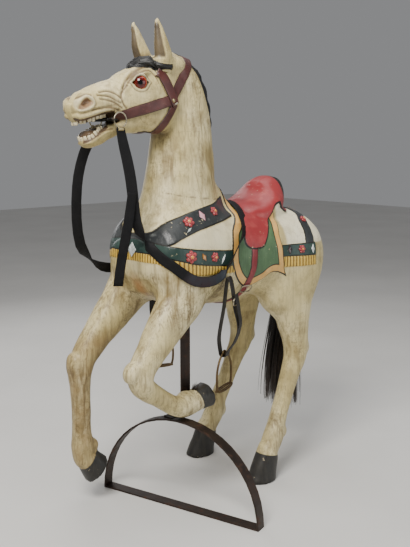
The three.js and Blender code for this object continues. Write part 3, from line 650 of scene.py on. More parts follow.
def relief(P, N, out):
    """Height above the carved body in metres; out collects the painted regions."""
    F, L, Z = P.T
    A = np.abs(L)
    H = np.zeros(len(P))
    front = F > 0.10
    up = np.where(front, between(F, Z, UP_TOP, UP_BOT), -1)
    lo = np.where(front, between(F, Z, LO_TOP, LO_BOT), -1)
    fr = np.where(front, between(F, Z, LO_BOT, FR_BOT), -1)
    rs = np.where(F < 0, between(F, Z, RE_TOP, RE_BOT), -1)
    rf = np.where(F < 0, between(F, Z, RE_BOT, RF_BOT), -1)
    near_body = (Z < 1.0) & (Z > 0.56)
    for a in (up, lo, fr, rs, rf):
        a[~near_body] = -1
    # the legs' own surfaces below the trappings stay bare
    bl = np.where(near_body, poly_sd(F, Z, BLANKET), -1)
    sd = np.where(near_body & (Z > 0.74), poly_sd(F, Z, SADDLE_OUT), -1)
    gi = np.where(near_body, poly_sd(F, Z, GIRTH), -1)
    cr = np.where(near_body & (Z > 0.74), poly_sd(F, Z, CRUP), -1)
    run = F * 0.75 + np.where(F > 0.38, -np.sign(L) * (A - 0.10) * 0.9, 0)
    # the neck's own skin above the collar is not blanket
    lower = np.maximum(lo, rs)
    fringe = np.maximum(fr, rf)
    H += 0.0030 * step(up, 0, .003)
    H = np.maximum(H, 0.0030 * step(lower, 0, .003))
    cordage = 0.0012 + 0.0016 * wave(run / .0095)
    H = np.maximum(H, cordage * step(fringe, 0, .002))
    H = np.maximum(H, 0.0032 * step(bl, 0, .003))
    H = np.maximum(H, 0.0062 * step(sd, 0, .003) * (Z > .74))
    H = np.maximum(H, (0.0060 * step(gi, 0, .003)))
    H = np.maximum(H, 0.0028 * step(cr, 0, .003))
    out["up"], out["lower"], out["fringe"], out["blanket"] = up, lower, fringe, bl
    out["saddle"], out["girth"], out["crup"], out["run"] = sd, gi, cr, run
    # face
    head = (F > .33) & (Z > 1.04) & (A > .006)
    # gro: darkness for the paint, painted shade with grime in creases, at lid edges and in eye corners
    gro = np.zeros(len(P))
    gum = np.zeros(len(P))
    side = head & (A > .012)
    if side.any():
        f, z = F[side], Z[side]
        h = np.zeros(side.sum())
        g = np.zeros(side.sum())
        for pts, deep, wide in CREASES:
            d = seg_dist(f, z, pts)
            c = np.exp(-(d / wide) ** 2)
            h -= deep * c
            h += deep * 0.55 * np.exp(-((d - wide * 2.1) / (wide * 1.1)) ** 2)
            g = np.maximum(g, c)
        h *= step(f, .343, .356)
        g *= step(f, .343, .356)
        lid = eye_opening(P[side])
        upper = step(z + (f - .40) * .18, 1.228, 1.242)
        h += np.where(A[side] > .03, (0.0024 + .0022 * upper) * np.exp(-((lid + .0032) / .0032) ** 2), 0)
        g = np.maximum(g, np.where(A[side] > .03, np.exp(-((lid + .0080) / .0020) ** 2) * .80, 0))
        g = np.maximum(g, np.where(A[side] > .03, step(lid, -.0005, .002) * .95, 0))
        g = np.maximum(g, np.where(A[side] > .03, np.exp(-((lid - .0) / .0012) ** 2), 0))
        nos = poly_sd(f, z, NOSTRIL)
        h += np.where(A[side] > .014, 0.0034 * np.exp(-((nos + .0030) / .0034) ** 2), 0)
        g = np.maximum(g, np.where(A[side] > .014, np.exp(-((nos + .0095) / .0030) ** 2) * .55, 0))
        zl = np.interp(f, [q[0] for q in LIP_UP[::-1]], [q[1] for q in LIP_UP[::-1]])
        bandu = np.where((f > .486), np.minimum(zl - z, z - zl + .0175), -1)
        band_u = step(bandu, 0, .002)
        h -= .0036 * band_u
        nlo = (f - .550) * .53 + (z - 1.081) * .85
        bandl = np.where((f > .498), np.minimum(nlo - .001, .0165 - nlo), -1)
        band_l = step(bandl, 0, .002) * (z < 1.125)
        h -= .0026 * band_l
        gum[side] = np.maximum(band_u, band_l)
        dl = seg_dist(f, z, LIP_UP)
        h += 0.0024 * np.exp(-((dl - .004) / .0045) ** 2)
        g = np.maximum(g, 0.6 * np.exp(-((dl - .013) / .0035) ** 2))
        h -= 0.0012 * np.exp(-((dl - .013) / .0035) ** 2)
        dl = seg_dist(f, z, LIP_LO)
        h += 0.0020 * np.exp(-((dl - .003) / .004) ** 2)
        H[side] += h
        gro[side] = g
    out["groove"] = gro
    out["gum"] = gum
    # the ears are hollowed to the front
    inner = np.zeros(len(P))
    for side, en in ((1, "ear_left"), (-1, "ear_right")):
        m = (Z > 1.298) & (Z < 1.408) & (L * side > 0) & (F > .25)
        st = LIMBS[en]
        zs = [s[1] for s in st]
        z = Z[m]
        a = (F[m] - np.interp(z, zs, [s[0] for s in st])) / np.interp(z, zs, [s[4] for s in st])
        b = (L[m] - np.interp(z, zs, [s[2] for s in st])) / np.interp(z, zs, [s[6] for s in st]) * side
        a = a * .985 + b * .174
        t = step(a, .26, .50) * step(z, 1.300, 1.312) * (1 - step(z, 1.392, 1.405))
        H[m] -= .0050 * t * (1 - np.clip((z - 1.30) / .16, 0, .8)) * (1 - step(z, 1.378, 1.392))
        inner[m] = t
    # the hollow's front face is painted darker as its shade
    out["ear_hollow_shade"] = inner
    # forelock
    fl = np.full(len(P), -1.0)
    m = (F > .27) & (F < .42) & (Z > 1.24) & (L < .085)
    if m.any():
        f2, l2 = P[m][:, 0], P[m][:, 1]
        inl = poly_sd(f2, l2, FORELOCK_TOP)
        inl = np.where(P[m][:, 2] > 1.262, inl, -1)
        for en in ("ear_left", "ear_right"):
            g = limbs[en].look(f2, P[m][:, 2])
            inl = np.where(P[m][:, 2] > 1.300, np.minimum(inl, limbs[en].dist(g, l2) - .0015), inl)
        z2 = P[m][:, 2]
        slim = np.maximum(l2 - .030, 0)
        inl = np.where(l2 > .030, np.minimum(inl, .0215 - slim * .36 - np.abs(z2 - 1.286 + slim * .10)), inl)
        inl = np.where(z2 > 1.309, -1, inl)
        fl[m] = inl
        c = f2 * .667 + l2 * .745
        a2 = f2 * .745 - l2 * .667
        c2 = c + .004 * np.sin(a2 * 70) + .003 * np.sin(a2 * 31 + 1)
        H[m] += (0.0060 + .0040 * wave(c2 / .021)) * step(inl, -.001, .008)
        H[m] -= 0.0020 * wave(c2 / .0052) * step(inl, 0, .003)
    mi, lean, down = mane_locks(P)
    ok = (Z > .90) & (F < .34) & (F > .03) & (sd < 0) & (bl < 0)
    mi = np.where(ok & ~((Z > 1.306) & (F > .25)), mi, -1)
    strand = wave(lean / .0064)
    lockw = wave(lean / .052)
    H = np.where(mi > -.002, H + (0.0032 + 0.0040 * lockw) * step(mi, -.002, .012) - 0.0018 * strand * step(mi, 0, .004), H)
    out["hair"] = np.maximum(mi, fl)
    # block joints of the body: neck block, leg tops, belly
    seams = [(mm([(329, 937), (289, 926), (227, 917), (146, 909), (110, 905)]), .10), (mm([(40, 600), (160, 596), (250, 604)]), .02)]
    sm = np.zeros(len(P))
    for pts, _ in seams:
        d = seg_dist(F, Z, pts)
        sm = np.maximum(sm, np.exp(-(d / .0016) ** 2) * (H < .001))
    H -= 0.0008 * sm
    out["seam"] = sm
    # tool marks and the slow unevenness of hand carving
    H += 0.0011 * noise3(P, 26, 3) + 0.0006 * noise3(P, 60, 5)
    return H
# ------------------------------------------------------------------ helpers for pieces
def mesh_piece(name, V, Fc, mat=None, smooth=True, rep=None):
    me = bpy.data.meshes.new(name)
    me.from_pydata([tuple(v) for v in V], [], [tuple(int(i) for i in f) for f in Fc])
    me.update()
    ob = bpy.data.objects.new(name, me)
    bpy.context.scene.collection.objects.link(ob)
    if mat:
        me.materials.append(mat)
    me.polygons.foreach_set("use_smooth", [smooth] * len(me.polygons))
    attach(ob, "root")
    if rep:
        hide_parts(*rep)
    return ob


# ------------------------------------------------------------------ node materials
def lin(h):
    h = h.lstrip("#")
    c = [int(h[i:i + 2], 16) / 255 for i in (0, 2, 4)]
    return tuple(x / 12.92 if x <= .04045 else ((x + .055) / 1.055) ** 2.4 for x in c) + (1.0,)


class Mat:
    def __init__(self, name):
        self.m = bpy.data.materials.new(name)
        self.m.use_nodes = True
        self.t = self.m.node_tree
        self.b = self.t.nodes["Principled BSDF"]
        self._obj = None

    def n(self, kind, **kw):
        x = self.t.nodes.new(kind)
        for k, v in kw.items():
            setattr(x, k, v)
        return x

    def put(self, sock, v):
        if isinstance(v, bpy.types.NodeSocket):
            self.t.links.new(v, sock)
        else:
            if isinstance(v, (tuple, list)) and len(v) == 3 and sock.type == "RGBA":
                v = tuple(v) + (1,)
            sock.default_value = v

    def obj(self):
        if self._obj is None:
            self._obj = self.n("ShaderNodeTexCoord").outputs["Object"]
        return self._obj

    def scaled(self, s, turn=(0, 0, 0)):
        x = self.n("ShaderNodeMapping")
        self.put(x.inputs["Vector"], self.obj())
        x.inputs["Scale"].default_value = s
        x.inputs["Rotation"].default_value = turn
        return x.outputs[0]

    def noise(self, scale, detail=3, rough=.55, vec=None, warp=0):
        x = self.n("ShaderNodeTexNoise")
        self.put(x.inputs["Vector"], vec if vec is not None else self.obj())
        x.inputs["Scale"].default_value = scale
        x.inputs["Detail"].default_value = detail
        x.inputs["Roughness"].default_value = rough
        x.inputs["Distortion"].default_value = warp
        return x.outputs["Fac"]

    def vor(self, scale, feature="DISTANCE_TO_EDGE", vec=None, out="Distance", rand=1):
        x = self.n("ShaderNodeTexVoronoi", feature=feature)
        self.put(x.inputs["Vector"], vec if vec is not None else self.obj())
        x.inputs["Scale"].default_value = scale
        x.inputs["Randomness"].default_value = rand
        return x.outputs[out]

    def attr(self, name):
        return self.n("ShaderNodeAttribute", attribute_name=name).outputs["Fac"]

    def ma(self, op, a, b=0.0, c=0.0, clamp=False):
        x = self.n("ShaderNodeMath", operation=op, use_clamp=clamp)
        self.put(x.inputs[0], a)
        self.put(x.inputs[1], b)
        if len(x.inputs) > 2:
            self.put(x.inputs[2], c)
        return x.outputs[0]

    def rng(self, v, a, b, c=0.0, d=1.0, smooth=False):
        x = self.n("ShaderNodeMapRange", clamp=True)
        if smooth:
            x.interpolation_type = "SMOOTHSTEP"
        self.put(x.inputs["Value"], v)
        for k, y in zip(("From Min", "From Max", "To Min", "To Max"), (a, b, c, d)):
            x.inputs[k].default_value = y
        return x.outputs[0]

    def mix(self, fac, a, b, kind="MIX"):
        x = self.n("ShaderNodeMix", data_type="RGBA", blend_type=kind)
        self.put(x.inputs[0], fac)
        self.put(x.inputs[6], lin(a) if isinstance(a, str) else a)
        self.put(x.inputs[7], lin(b) if isinstance(b, str) else b)
        return x.outputs[2]

    def mixf(self, fac, a, b):
        x = self.n("ShaderNodeMix", data_type="FLOAT")
        self.put(x.inputs[0], fac)
        self.put(x.inputs[2], a)
        self.put(x.inputs[3], b)
        return x.outputs[0]

    def ramp(self, v, stops):
        x = self.n("ShaderNodeValToRGB")
        self.put(x.inputs[0], v)
        el = x.color_ramp.elements
        while len(el) < len(stops):
            el.new(.5)
        for e, (p, c) in zip(el, stops):
            e.position = p
            e.color = lin(c) if isinstance(c, str) else (c, c, c, 1)
        return x.outputs[0]

    def bump(self, height, strength=.4, dist=.001, after=None):
        x = self.n("ShaderNodeBump")
        x.inputs["Strength"].default_value = strength
        x.inputs["Distance"].default_value = dist
        self.put(x.inputs["Height"], height)
        if after is not None:
            self.put(x.inputs["Normal"], after)
        return x.outputs[0]

    def done(self, color, rough, normal=None, **kw):
        self.put(self.b.inputs["Base Color"], lin(color) if isinstance(color, str) else color)
        self.put(self.b.inputs["Roughness"], rough)
        if normal is not None:
            self.put(self.b.inputs["Normal"], normal)
        for k, v in kw.items():
            self.put(self.b.inputs[k.replace("_", " ")], v)
        return self.m


def horse_material():
    M = Mat("painted_wood_aged")
    a = {k: M.attr("h_" + k) for k in ("up", "lower", "fringe", "blanket", "saddle", "girth", "crup", "run", "groove",
                                       "hair", "seam", "recess_shade_and_grime", "hoof", "nose", "mouth", "eye", "ear_hollow_shade", "rim", "pale_and_toplit",
                                       "stain", "ridge", "wear_and_shade")}
    big = M.noise(5, 3, .5)
    mid = M.noise(19, 5, .6)
    fine = M.noise(120, 5, .65)
    tiny = M.noise(420, 3, .6)
    grain = M.noise(1, 5, .62, M.scaled((62, 62, 5.5)), 1.1)
    grain2 = M.noise(1, 4, .6, M.scaled((180, 180, 10)), .6)
    jitter = M.ma("MULTIPLY", M.ma("SUBTRACT", M.noise(90, 3), .5), .0016)

    def inside(d, at=0.0, soft=.0006):
        return M.rng(M.ma("ADD", d, jitter), at - soft, at + soft)

    # old ivory paint, brown where grime sits and where painted shade darkens it, cleaner where painted light lies
    col = M.ramp(big, [(.30, "#B7A56E"), (.50, "#D1C18B"), (.72, "#E9DDB2")])
    col = M.mix(M.rng(mid, .50, .68, 0, .62), col, "#9A8858")
    streak = M.ma("MULTIPLY", M.rng(grain, .49, .64), M.rng(big, .36, .60, .30, 1))
    # how much streaking and grime the ivory takes: more where worn and as painted shade, less on pale paint and under
    # painted light
    dirt_and_shade = M.ma("MULTIPLY", M.ma("SUBTRACT", 1, M.rng(a["pale_and_toplit"], 0, 1, 0, .8)), M.rng(a["wear_and_shade"], 0, 1, .22, 1))
    # brown wash as painted shade, strongest on the far foreleg, some on the breast
    col = M.mix(M.ma("MULTIPLY", M.rng(a["wear_and_shade"], .9, 1.6), M.rng(mid, .35, .62, .35, .85)), col, "#A0875A")
    col = M.mix(M.ma("MULTIPLY", M.ma("MULTIPLY", streak, .80), dirt_and_shade), col, "#6B5530")
    col = M.mix(M.ma("MULTIPLY", M.ma("MULTIPLY", M.rng(grain2, .52, .68), .58), dirt_and_shade), col, "#554224")
    blotch = M.rng(M.noise(1, 4, .6, M.scaled((17, 17, 4.6)), .8), .50, .66)
    col = M.mix(M.ma("MULTIPLY", M.ma("MULTIPLY", blotch, M.rng(a["wear_and_shade"], .26, .95, .10, .80)), dirt_and_shade), col, "#7C673A")
    # speckled grime that gathers in patches
    patch = M.rng(M.noise(9, 4, .6), .46, .68)
    speck = M.ma("MULTIPLY", M.rng(fine, .50, .60), patch)
    col = M.mix(M.ma("MULTIPLY", M.ma("MULTIPLY", speck, .70), dirt_and_shade), col, "#65532F")
    pin = M.rng(M.vor(210, "F1", M.obj()), .10, .22, 1, 0)
    col = M.mix(M.ma("MULTIPLY", M.ma("MULTIPLY", pin, patch), .5), col, "#5B4A30")
    # paler ivory: pale paint between the collar straps, painted light on the rump top
    col = M.mix(M.rng(a["pale_and_toplit"], 0, 1, 0, .75), col, M.mix(M.rng(mid, .4, .7), "#F6F0D8", "#DDD5B6"))
    # fine age cracks in the paint
    warped = M.n("ShaderNodeVectorMath", operation="ADD")
    M.put(warped.inputs[0], M.scaled((1, 1, .62)))
    nz = M.n("ShaderNodeTexNoise")
    nz.inputs["Scale"].default_value = 40
    M.put(nz.inputs["Vector"], M.obj())
    sc = M.n("ShaderNodeVectorMath", operation="SCALE")
    M.put(sc.inputs[0], nz.outputs["Color"])
    sc.inputs["Scale"].default_value = .012
    M.put(warped.inputs[1], sc.outputs[0])
    crack = M.rng(M.vor(46, vec=warped.outputs[0]), .0, .020, 1, 0)
    crack = M.ma("MULTIPLY", crack, M.rng(M.noise(13, 3), .42, .60))
    col = M.mix(M.ma("MULTIPLY", crack, .55), col, "#6A5838")
    # recesses: painted shade with grime in hollows and creases, pale ridges, dark joints and stains
    recess_shade_grime_mask = M.rng(M.ma("ADD", a["recess_shade_and_grime"], M.ma("MULTIPLY", M.ma("SUBTRACT", fine, .5), .35)), .18, .95, 0, 1, True)
    col = M.mix(M.ma("MULTIPLY", recess_shade_grime_mask, .88), col, "#6B5636")
    col = M.mix(M.ma("MULTIPLY", M.rng(a["ridge"], .1, .9), .35), col, "#DDD7C0")
    # painted shade with grime in the carved creases, at the lid edges and in the eye corners
    col = M.mix(M.ma("MULTIPLY", M.rng(a["groove"], .18, .95), .82), col, "#59422A")
    col = M.mix(M.ma("MULTIPLY", M.rng(a["seam"], .2, .9), .7), col, "#5E4C33")
    col = M.mix(M.ma("MULTIPLY", M.rng(a["stain"], .1, 1), .65), col, "#A0601E")
    # inner ears darkened as painted shade of their hollows, nostrils, gums, and painted shade in the eye openings round
    # the glass
    col = M.mix(M.rng(a["ear_hollow_shade"], .1, .9), col, M.mix(M.rng(mid, .35, .65), "#4B4030", "#695B42"))
    col = M.mix(M.rng(a["mouth"], .05, .8), col, M.mix(mid, "#6E5842", "#4A3A2A"))
    col = M.mix(M.rng(a["nose"], .1, .9), col, M.mix(fine, "#806248", "#A58766"))
    # painted shade in the eye openings round the glass
    col = M.mix(M.rng(a["eye"], .15, .85), col, M.mix(fine, "#2A1E18", "#4A3426"))
    rough = M.rng(M.noise(60, 4), .3, .7, .42, .62)
    paint = lambda c1, c2, w: M.mix(w, c1, c2)
    wear = M.rng(M.noise(30, 5, .7), .60, .70)
    chips = M.rng(M.noise(75, 5, .72), .655, .675)

    def layer(base, mask, c, r, rg):
        return M.mix(mask, base, c), M.mixf(mask, r, rg)

    black = M.mix(M.rng(mid, .45, .7), "#14130F", "#2B2822")
    # hooves
    hoofc = M.mix(M.rng(grain, .45, .65), M.mix(M.rng(mid, .4, .65), "#1A1917", "#2A2825"), "#312E28")
    hoofc = M.mix(M.rng(M.noise(70, 5, .72), .655, .675), hoofc, "#A99C80")
    hm = inside(a["hoof"], 0, .0012)
    col, rough = layer(col, hm, hoofc, rough, .5)
    # black hair
    strand = M.ma("ABSOLUTE", M.ma("SINE", M.ma("MULTIPLY", a["run"], 900)))
    hm = inside(a["hair"], 0, .0008)
    hairc = M.mix(M.rng(fine, .5, .7), "#0A0908", "#1F1C19")
    col, rough = layer(col, hm, hairc, rough, .52)
    # crupper
    grey = M.mix(M.rng(mid, .35, .7), "#272A2B", "#383B3B")
    grey = M.mix(M.ma("MULTIPLY", wear, .6), grey, "#787B78")
    green = M.mix(M.rng(mid, .35, .7), "#223631", "#30463E")
    green = M.mix(M.ma("MULTIPLY", wear, .35), green, "#557065")
    for d, c, w in ((a["crup"], grey, .0035), (a["up"], grey, .0038), (a["lower"], green, .0035)):
        col, rough = layer(col, inside(d), black, rough, .4)
        col, rough = layer(col, inside(d, w), c, rough, .38)
    # gold fringe: painted shade in the gaps between the cords and painted highlight on their crests
    rib = M.ma("ABSOLUTE", M.ma("SINE", M.ma("MULTIPLY", a["run"], math.pi / .0095)))
    gold = M.mix(M.rng(fine, .4, .65), "#C9A23C", "#B18A2C")
    gold = M.mix(M.rng(rib, .16, .52, 1, 0), gold, "#3B2D12")
    gold = M.mix(M.rng(rib, .75, 1, 0, .55), gold, "#E0C46A")
    col, rough = layer(col, inside(a["fringe"]), gold, rough, .45)
    # blanket
    bd = a["blanket"]
    bgreen = M.mix(M.rng(mid, .35, .7), "#445F3F", "#56734D")
    bgreen = M.mix(M.rng(grain, .52, .70, 0, .6), bgreen, "#34492F")
    ochre = M.mix(M.rng(mid, .35, .7), "#D3A052", "#DDB36E")
    ochre = M.mix(M.rng(M.noise(55, 5, .65), .52, .72, 0, .6), ochre, "#B5843C")
    col, rough = layer(col, inside(bd), black, rough, .4)
    col, rough = layer(col, inside(bd, .0042), ochre, rough, .46)
    col, rough = layer(col, inside(bd, .0235), black, rough, .4)
    col, rough = layer(col, inside(bd, .0272), bgreen, rough, .44)
    # girth
    red = M.mix(M.rng(mid, .35, .7), "#76262A", "#8A3236")
    red = M.mix(M.rng(M.noise(38, 4, .6), .55, .75, 0, .5), red, "#A04E4C")
    col, rough = layer(col, inside(a["girth"]), black, rough, .4)
    col, rough = layer(col, inside(a["girth"], .0028), red, rough, .34)
    # saddle
    sdl = a["saddle"]
    sred = M.mix(M.rng(big, .3, .7), "#8C2B2E", "#A03A3A")
    sred = M.mix(M.rng(M.noise(26, 5, .6), .55, .72, 0, .45), sred, "#B85A54")
    sred = M.mix(M.rng(M.noise(15, 4, .6), .58, .74, 0, .5), sred, "#6E1F24")
    sm = inside(sdl)
    col, rough = layer(col, sm, black, rough, .35)
    sm2 = M.ma("MULTIPLY", inside(sdl, .0050), M.rng(M.ma("ADD", a["rim"], jitter), -.0006, .0006, 1, 0))
    col, rough = layer(col, sm2, sred, rough, M.rng(M.noise(34, 4), .35, .7, .30, .46))
    # chips through the paint of the trappings, down to pale ground
    deco = M.ma("MAXIMUM", M.ma("MAXIMUM", inside(bd), sm), M.ma("MAXIMUM", inside(a["up"]), inside(a["lower"])))
    col = M.mix(M.ma("MULTIPLY", M.ma("MULTIPLY", chips, deco), .8), col, "#CDBE96")
    # painted shade with grime in all corners, over the colours as well
    col = M.mix(M.ma("MULTIPLY", M.rng(a["recess_shade_and_grime"], .35, 1.0), .45), col, "#3A2E1E")
    h = M.ma("ADD", M.ma("MULTIPLY", grain, .5), M.ma("MULTIPLY", fine, .35))
    h = M.ma("SUBTRACT", h, M.ma("MULTIPLY", crack, .30))
    h = M.ma("ADD", h, M.ma("MULTIPLY", tiny, .12))
    nrm = M.bump(h, .42, .0013)
    return M.done(col, rough, nrm, Specular_IOR_Level=.42, Coat_Weight=.10, Coat_Roughness=.28)


def leather(name, c1, c2, edge, rough=.42, scale=1.0):
    M = Mat(name)
    col = M.mix(M.rng(M.noise(24 * scale, 4), .35, .7), c1, c2)
    col = M.mix(M.rng(M.noise(90 * scale, 5, .7), .60, .72, 0, .55), col, edge)
    pore = M.vor(700 * scale, "F1")
    col = M.mix(M.rng(pore, .0, .35, .3, 0), col, "#120C0A")
    e = M.rng(M.attr("edge"), .80, .98)
    col = M.mix(M.ma("MULTIPLY", e, .7), col, "#1A1210")
    st = M.ma("MULTIPLY", M.rng(M.ma("ABSOLUTE", M.ma("SUBTRACT", M.attr("edge"), .78)), .0, .03, 1, 0),
              M.rng(M.ma("SINE", M.ma("MULTIPLY", M.attr("run"), 2 * math.pi / .0042)), -.2, .1))
    col = M.mix(M.ma("MULTIPLY", st, .5), col, "#8B7A62")
    h = M.ma("ADD", M.ma("MULTIPLY", pore, .5), M.ma("MULTIPLY", M.noise(160), .6))
    h = M.ma("SUBTRACT", h, M.ma("MULTIPLY", st, .4))
    return M.done(col, M.rng(M.noise(50, 3), .3, .7, rough - .08, rough + .12), M.bump(h, .45, .0006), Specular_IOR_Level=.5)


def webbing(name, c1, c2, face, face2):
    """Woven flat strap: black, with a painted sheen on its face where the strap is given one."""
    M = Mat(name)
    u = M.ma("MULTIPLY", M.attr("run"), 2 * math.pi / .0021)
    v = M.ma("MULTIPLY", M.attr("across"), 2 * math.pi / .0021)
    w = M.ma("MULTIPLY", M.ma("SINE", u), M.ma("SINE", v))
    col = M.mix(M.rng(M.noise(40, 4), .35, .7), c1, c2)
    # painted sheen on the upper face where the face attribute is set
    fm = M.ma("MULTIPLY", M.attr("face"), M.rng(M.noise(60, 4, .7), .30, .42))
    col = M.mix(fm, col, M.mix(M.rng(M.noise(14, 3), .40, .60), face, face2))
    col = M.mix(M.rng(w, .1, .9, 0, .10), col, "#3C3C3C")
    e = M.rng(M.attr("edge"), .84, .98)
    col = M.mix(M.ma("MULTIPLY", e, .85), col, "#0B0A0A")
    h = M.ma("ADD", w, M.ma("MULTIPLY", M.noise(300), .8))
    return M.done(col, .62, M.bump(h, .35, .0004), Specular_IOR_Level=.22)


def iron(name, c1, c2, rust, amount=.5, metal=.85, rough=.5, scale=1.0):
    M = Mat(name)
    col = M.mix(M.rng(M.noise(18 * scale, 4), .35, .7), c1, c2)
    rm = M.rng(M.noise(34 * scale, 6, .7), .62 - amount * .22, .70 - amount * .10)
    col = M.mix(rm, col, M.mix(M.noise(130 * scale, 4), rust, "#2A1A12"))
    col = M.mix(M.rng(M.noise(260 * scale, 3), .62, .75, 0, .5), col, "#0F0D0B")
    mt = M.mixf(rm, metal, .15)
    rg = M.mixf(rm, rough, .82)
    h = M.ma("ADD", M.ma("MULTIPLY", M.noise(70 * scale, 5), .7), M.ma("MULTIPLY", M.noise(340 * scale, 3), .4))
    return M.done(col, rg, M.bump(h, .5, .0009), Metallic=mt)


def enamel(name, c1, c2, c3, rough=.3, scale=1.0, coat=.4):
    M = Mat(name)
    col = M.mix(M.rng(M.noise(60 * scale, 3), .35, .7), c1, c2)
    col = M.mix(M.rng(M.noise(150 * scale, 5, .7), .55, .70), col, c3)
    h = M.noise(200 * scale, 4)
    return M.done(col, M.rng(M.noise(80, 3), .3, .7, rough, rough + .18), M.bump(h, .4, .0005), Coat_Weight=coat,
                  Coat_Roughness=.12)


def glassy(name, c1, c2, rough=.06, scale=1.0):
    M = Mat(name)
    f = M.vor(170 * scale, "F1", out="Color", rand=.7)
    bw = M.n("ShaderNodeRGBToBW")
    M.put(bw.inputs[0], f)
    col = M.mix(bw.outputs[0], c1, c2)
    col = M.mix(M.rng(M.noise(120, 4), .60, .75, 0, .5), col, "#3A2C20")
    return M.done(col, M.rng(M.noise(90, 3), .3, .7, rough, rough + .12), M.bump(M.noise(90, 2), .15, .0006),
                  Coat_Weight=1.0, Coat_Roughness=.04, Specular_IOR_Level=.8)
# ------------------------------------------------------------------ camera, light and floor
AZ, PITCH = math.radians(43.0), math.radians(9.98)
cam_data = bpy.data.cameras.new("camera")
cam = bpy.data.objects.new("camera", cam_data)
bpy.context.scene.collection.objects.link(cam)
cam_data.sensor_fit = "VERTICAL"
cam_data.sensor_height = 36
cam_data.lens = 780 / 547 * 36
cam_data.clip_start = .01
cam.location = row1(1.7548, 1.7565, 1.0932)
gaze = Vector((math.sin(AZ) * math.cos(PITCH), math.cos(AZ) * math.cos(PITCH), -math.sin(PITCH)))
cam.rotation_euler = gaze.to_track_quat("-Z", "Y").to_euler()
bpy.context.scene.camera = cam


def area_light(name, at, to, size, watts, tint=(1, 1, 1)):
    d = bpy.data.lights.new(name, "AREA")
    d.shape = "RECTANGLE"
    d.size, d.size_y = size
    d.energy = watts
    d.color = tint
    o = bpy.data.objects.new(name, d)
    bpy.context.scene.collection.objects.link(o)
    o.location = at
    o.rotation_euler = (Vector(to) - Vector(at)).to_track_quat("-Z", "Y").to_euler()


ctr = row1(.1, 0, .75)
right = Vector((math.cos(AZ), -math.sin(AZ), 0))        # to the camera's right
back = Vector((math.sin(AZ), math.cos(AZ), 0))          # away from the camera
area_light("key", ctr - right * .75 - back * 1.95 + Vector((0, 0, 2.1)), ctr, (1.2, 1.2), 108, (1, .975, .93))
area_light("fill", ctr + right * 2.3 - back * 1.2 + Vector((0, 0, .5)), ctr, (2.2, 2.0), 24, (.95, .98, 1))
area_light("top", ctr + Vector((0, 0, 2.3)) + back * .3, ctr, (2.0, 2.0), 31)
area_light("rear", ctr - right * 1.2 + back * 2.0 + Vector((0, 0, 1.0)), ctr, (1.6, 1.8), 18)
world = bpy.data.worlds.new("studio")
bpy.context.scene.world = world
world.use_nodes = True
world.node_tree.nodes["Background"].inputs[0].default_value = (.80, .81, .83, 1)
world.node_tree.nodes["Background"].inputs[1].default_value = .31

fm = Mat("studio_floor")
floor_mat = fm.done(fm.mix(fm.rng(fm.noise(1.5, 3), .3, .7), "#CFCDC9", "#D8D6D2"), .82, fm.bump(fm.noise(60, 4), .05, .002))
fme = bpy.data.meshes.new("studio_floor")
S = 9.0
fme.from_pydata([(-S, -S, 0), (S, -S, 0), (S, S, 0), (-S, S, 0)], [], [(0, 1, 2, 3)])
fme.materials.append(floor_mat)
floor = bpy.data.objects.new("studio_floor", fme)
bpy.context.scene.collection.objects.link(floor)

# ------------------------------------------------------------------ the rein, a free flat strap
REIN_W, REIN_T = .030, .003
REIN_NEAR = [
    (478, 57, 1115, 1, 0.1, 0), (477, 58, 1104, 1, 0, 0), (472, 61, 1072, 0.95, -0.2, 0), (461, 66, 1017, 0.85, -0.4, 0), (453, 69, 963, 0.8, -0.5, 0),
    (449, 72, 909, 0.8, -0.5, 0.1), (444, 76, 860, 0.7, -0.6, 0.3), (428, 83, 818, 0.4, -0.5, 0.8), (408, 100, 784, 0.2, -0.2, 1),
    (392, 128, 757, 0, 0, 1), (372, 150, 737, 0.1, 0.1, 1), (347, 163, 715, 0.1, 0.1, 1), (312, 168, 694, 0, 0.05, 1),
    (268, 170, 685, 0, 0, 1), (226, 169, 689, -0.4, 0, 1), (196, 168, 704, -0.7, 0, 0.8), (172, 170, 732, -0.9, -0.3, 0.4),
    (152, 173, 766, -0.75, -0.65, 0.1), (124, 165, 797, -0.75, -0.6, 0), (92, 144, 822, -0.85, -0.3, -0.3), (64, 110, 850, -0.9, 0.1, -0.3),
    (46, 72, 876, -1, 0, -0.1), (38, 36, 891, -1, 0, 0), (36, 0, 895, -1, 0, 0)]
REIN_FAR = [
    (38, -36, 891, -1, 0, 0), (46, -72, 876, -1, 0, -0.1), (64, -110, 850, -0.9, -0.1, -0.3), (92, -139, 822, -0.8, -0.3, -0.4),
    (124, -158, 797, -0.9, -0.4, -0.3), (152, -167, 766, -1, -0.2, 0), (176, -171, 732, -0.9, 0, 0.3), (204, -173, 706, -0.6, 0, 0.7),
    (245, -176, 692, 0, 0, 1), (300, -180, 690, 0, 0, 1), (360, -172, 696, 0.1, 0, 1), (426, -140, 716, 0.4, -0.2, 0.9),
    (478, -112, 748, 0.8, -0.2, 0.6), (516, -92, 792, 1, -0.2, 0.2), (534, -79, 863, 1, -0.2, 0), (536, -71, 947, 1, -0.2, 0),
    (529, -66, 1002, 1, -0.2, 0), (512, -61, 1056, 1, -0.2, 0), (484, -58, 1103, 1, -0.2, 0), (478, -57, 1115, 1, -0.1, 0)]
REIN_END = [
    (462, 82, 945, 1, 0.1, 0), (468, 81, 900, 1, -0.1, 0), (476, 78, 850, 1, -0.2, 0), (484, 72, 800, 1, -0.2, 0),
    (489, 62, 745, 1, -0.2, 0), (493, 53, 687, 1, -0.2, 0)]


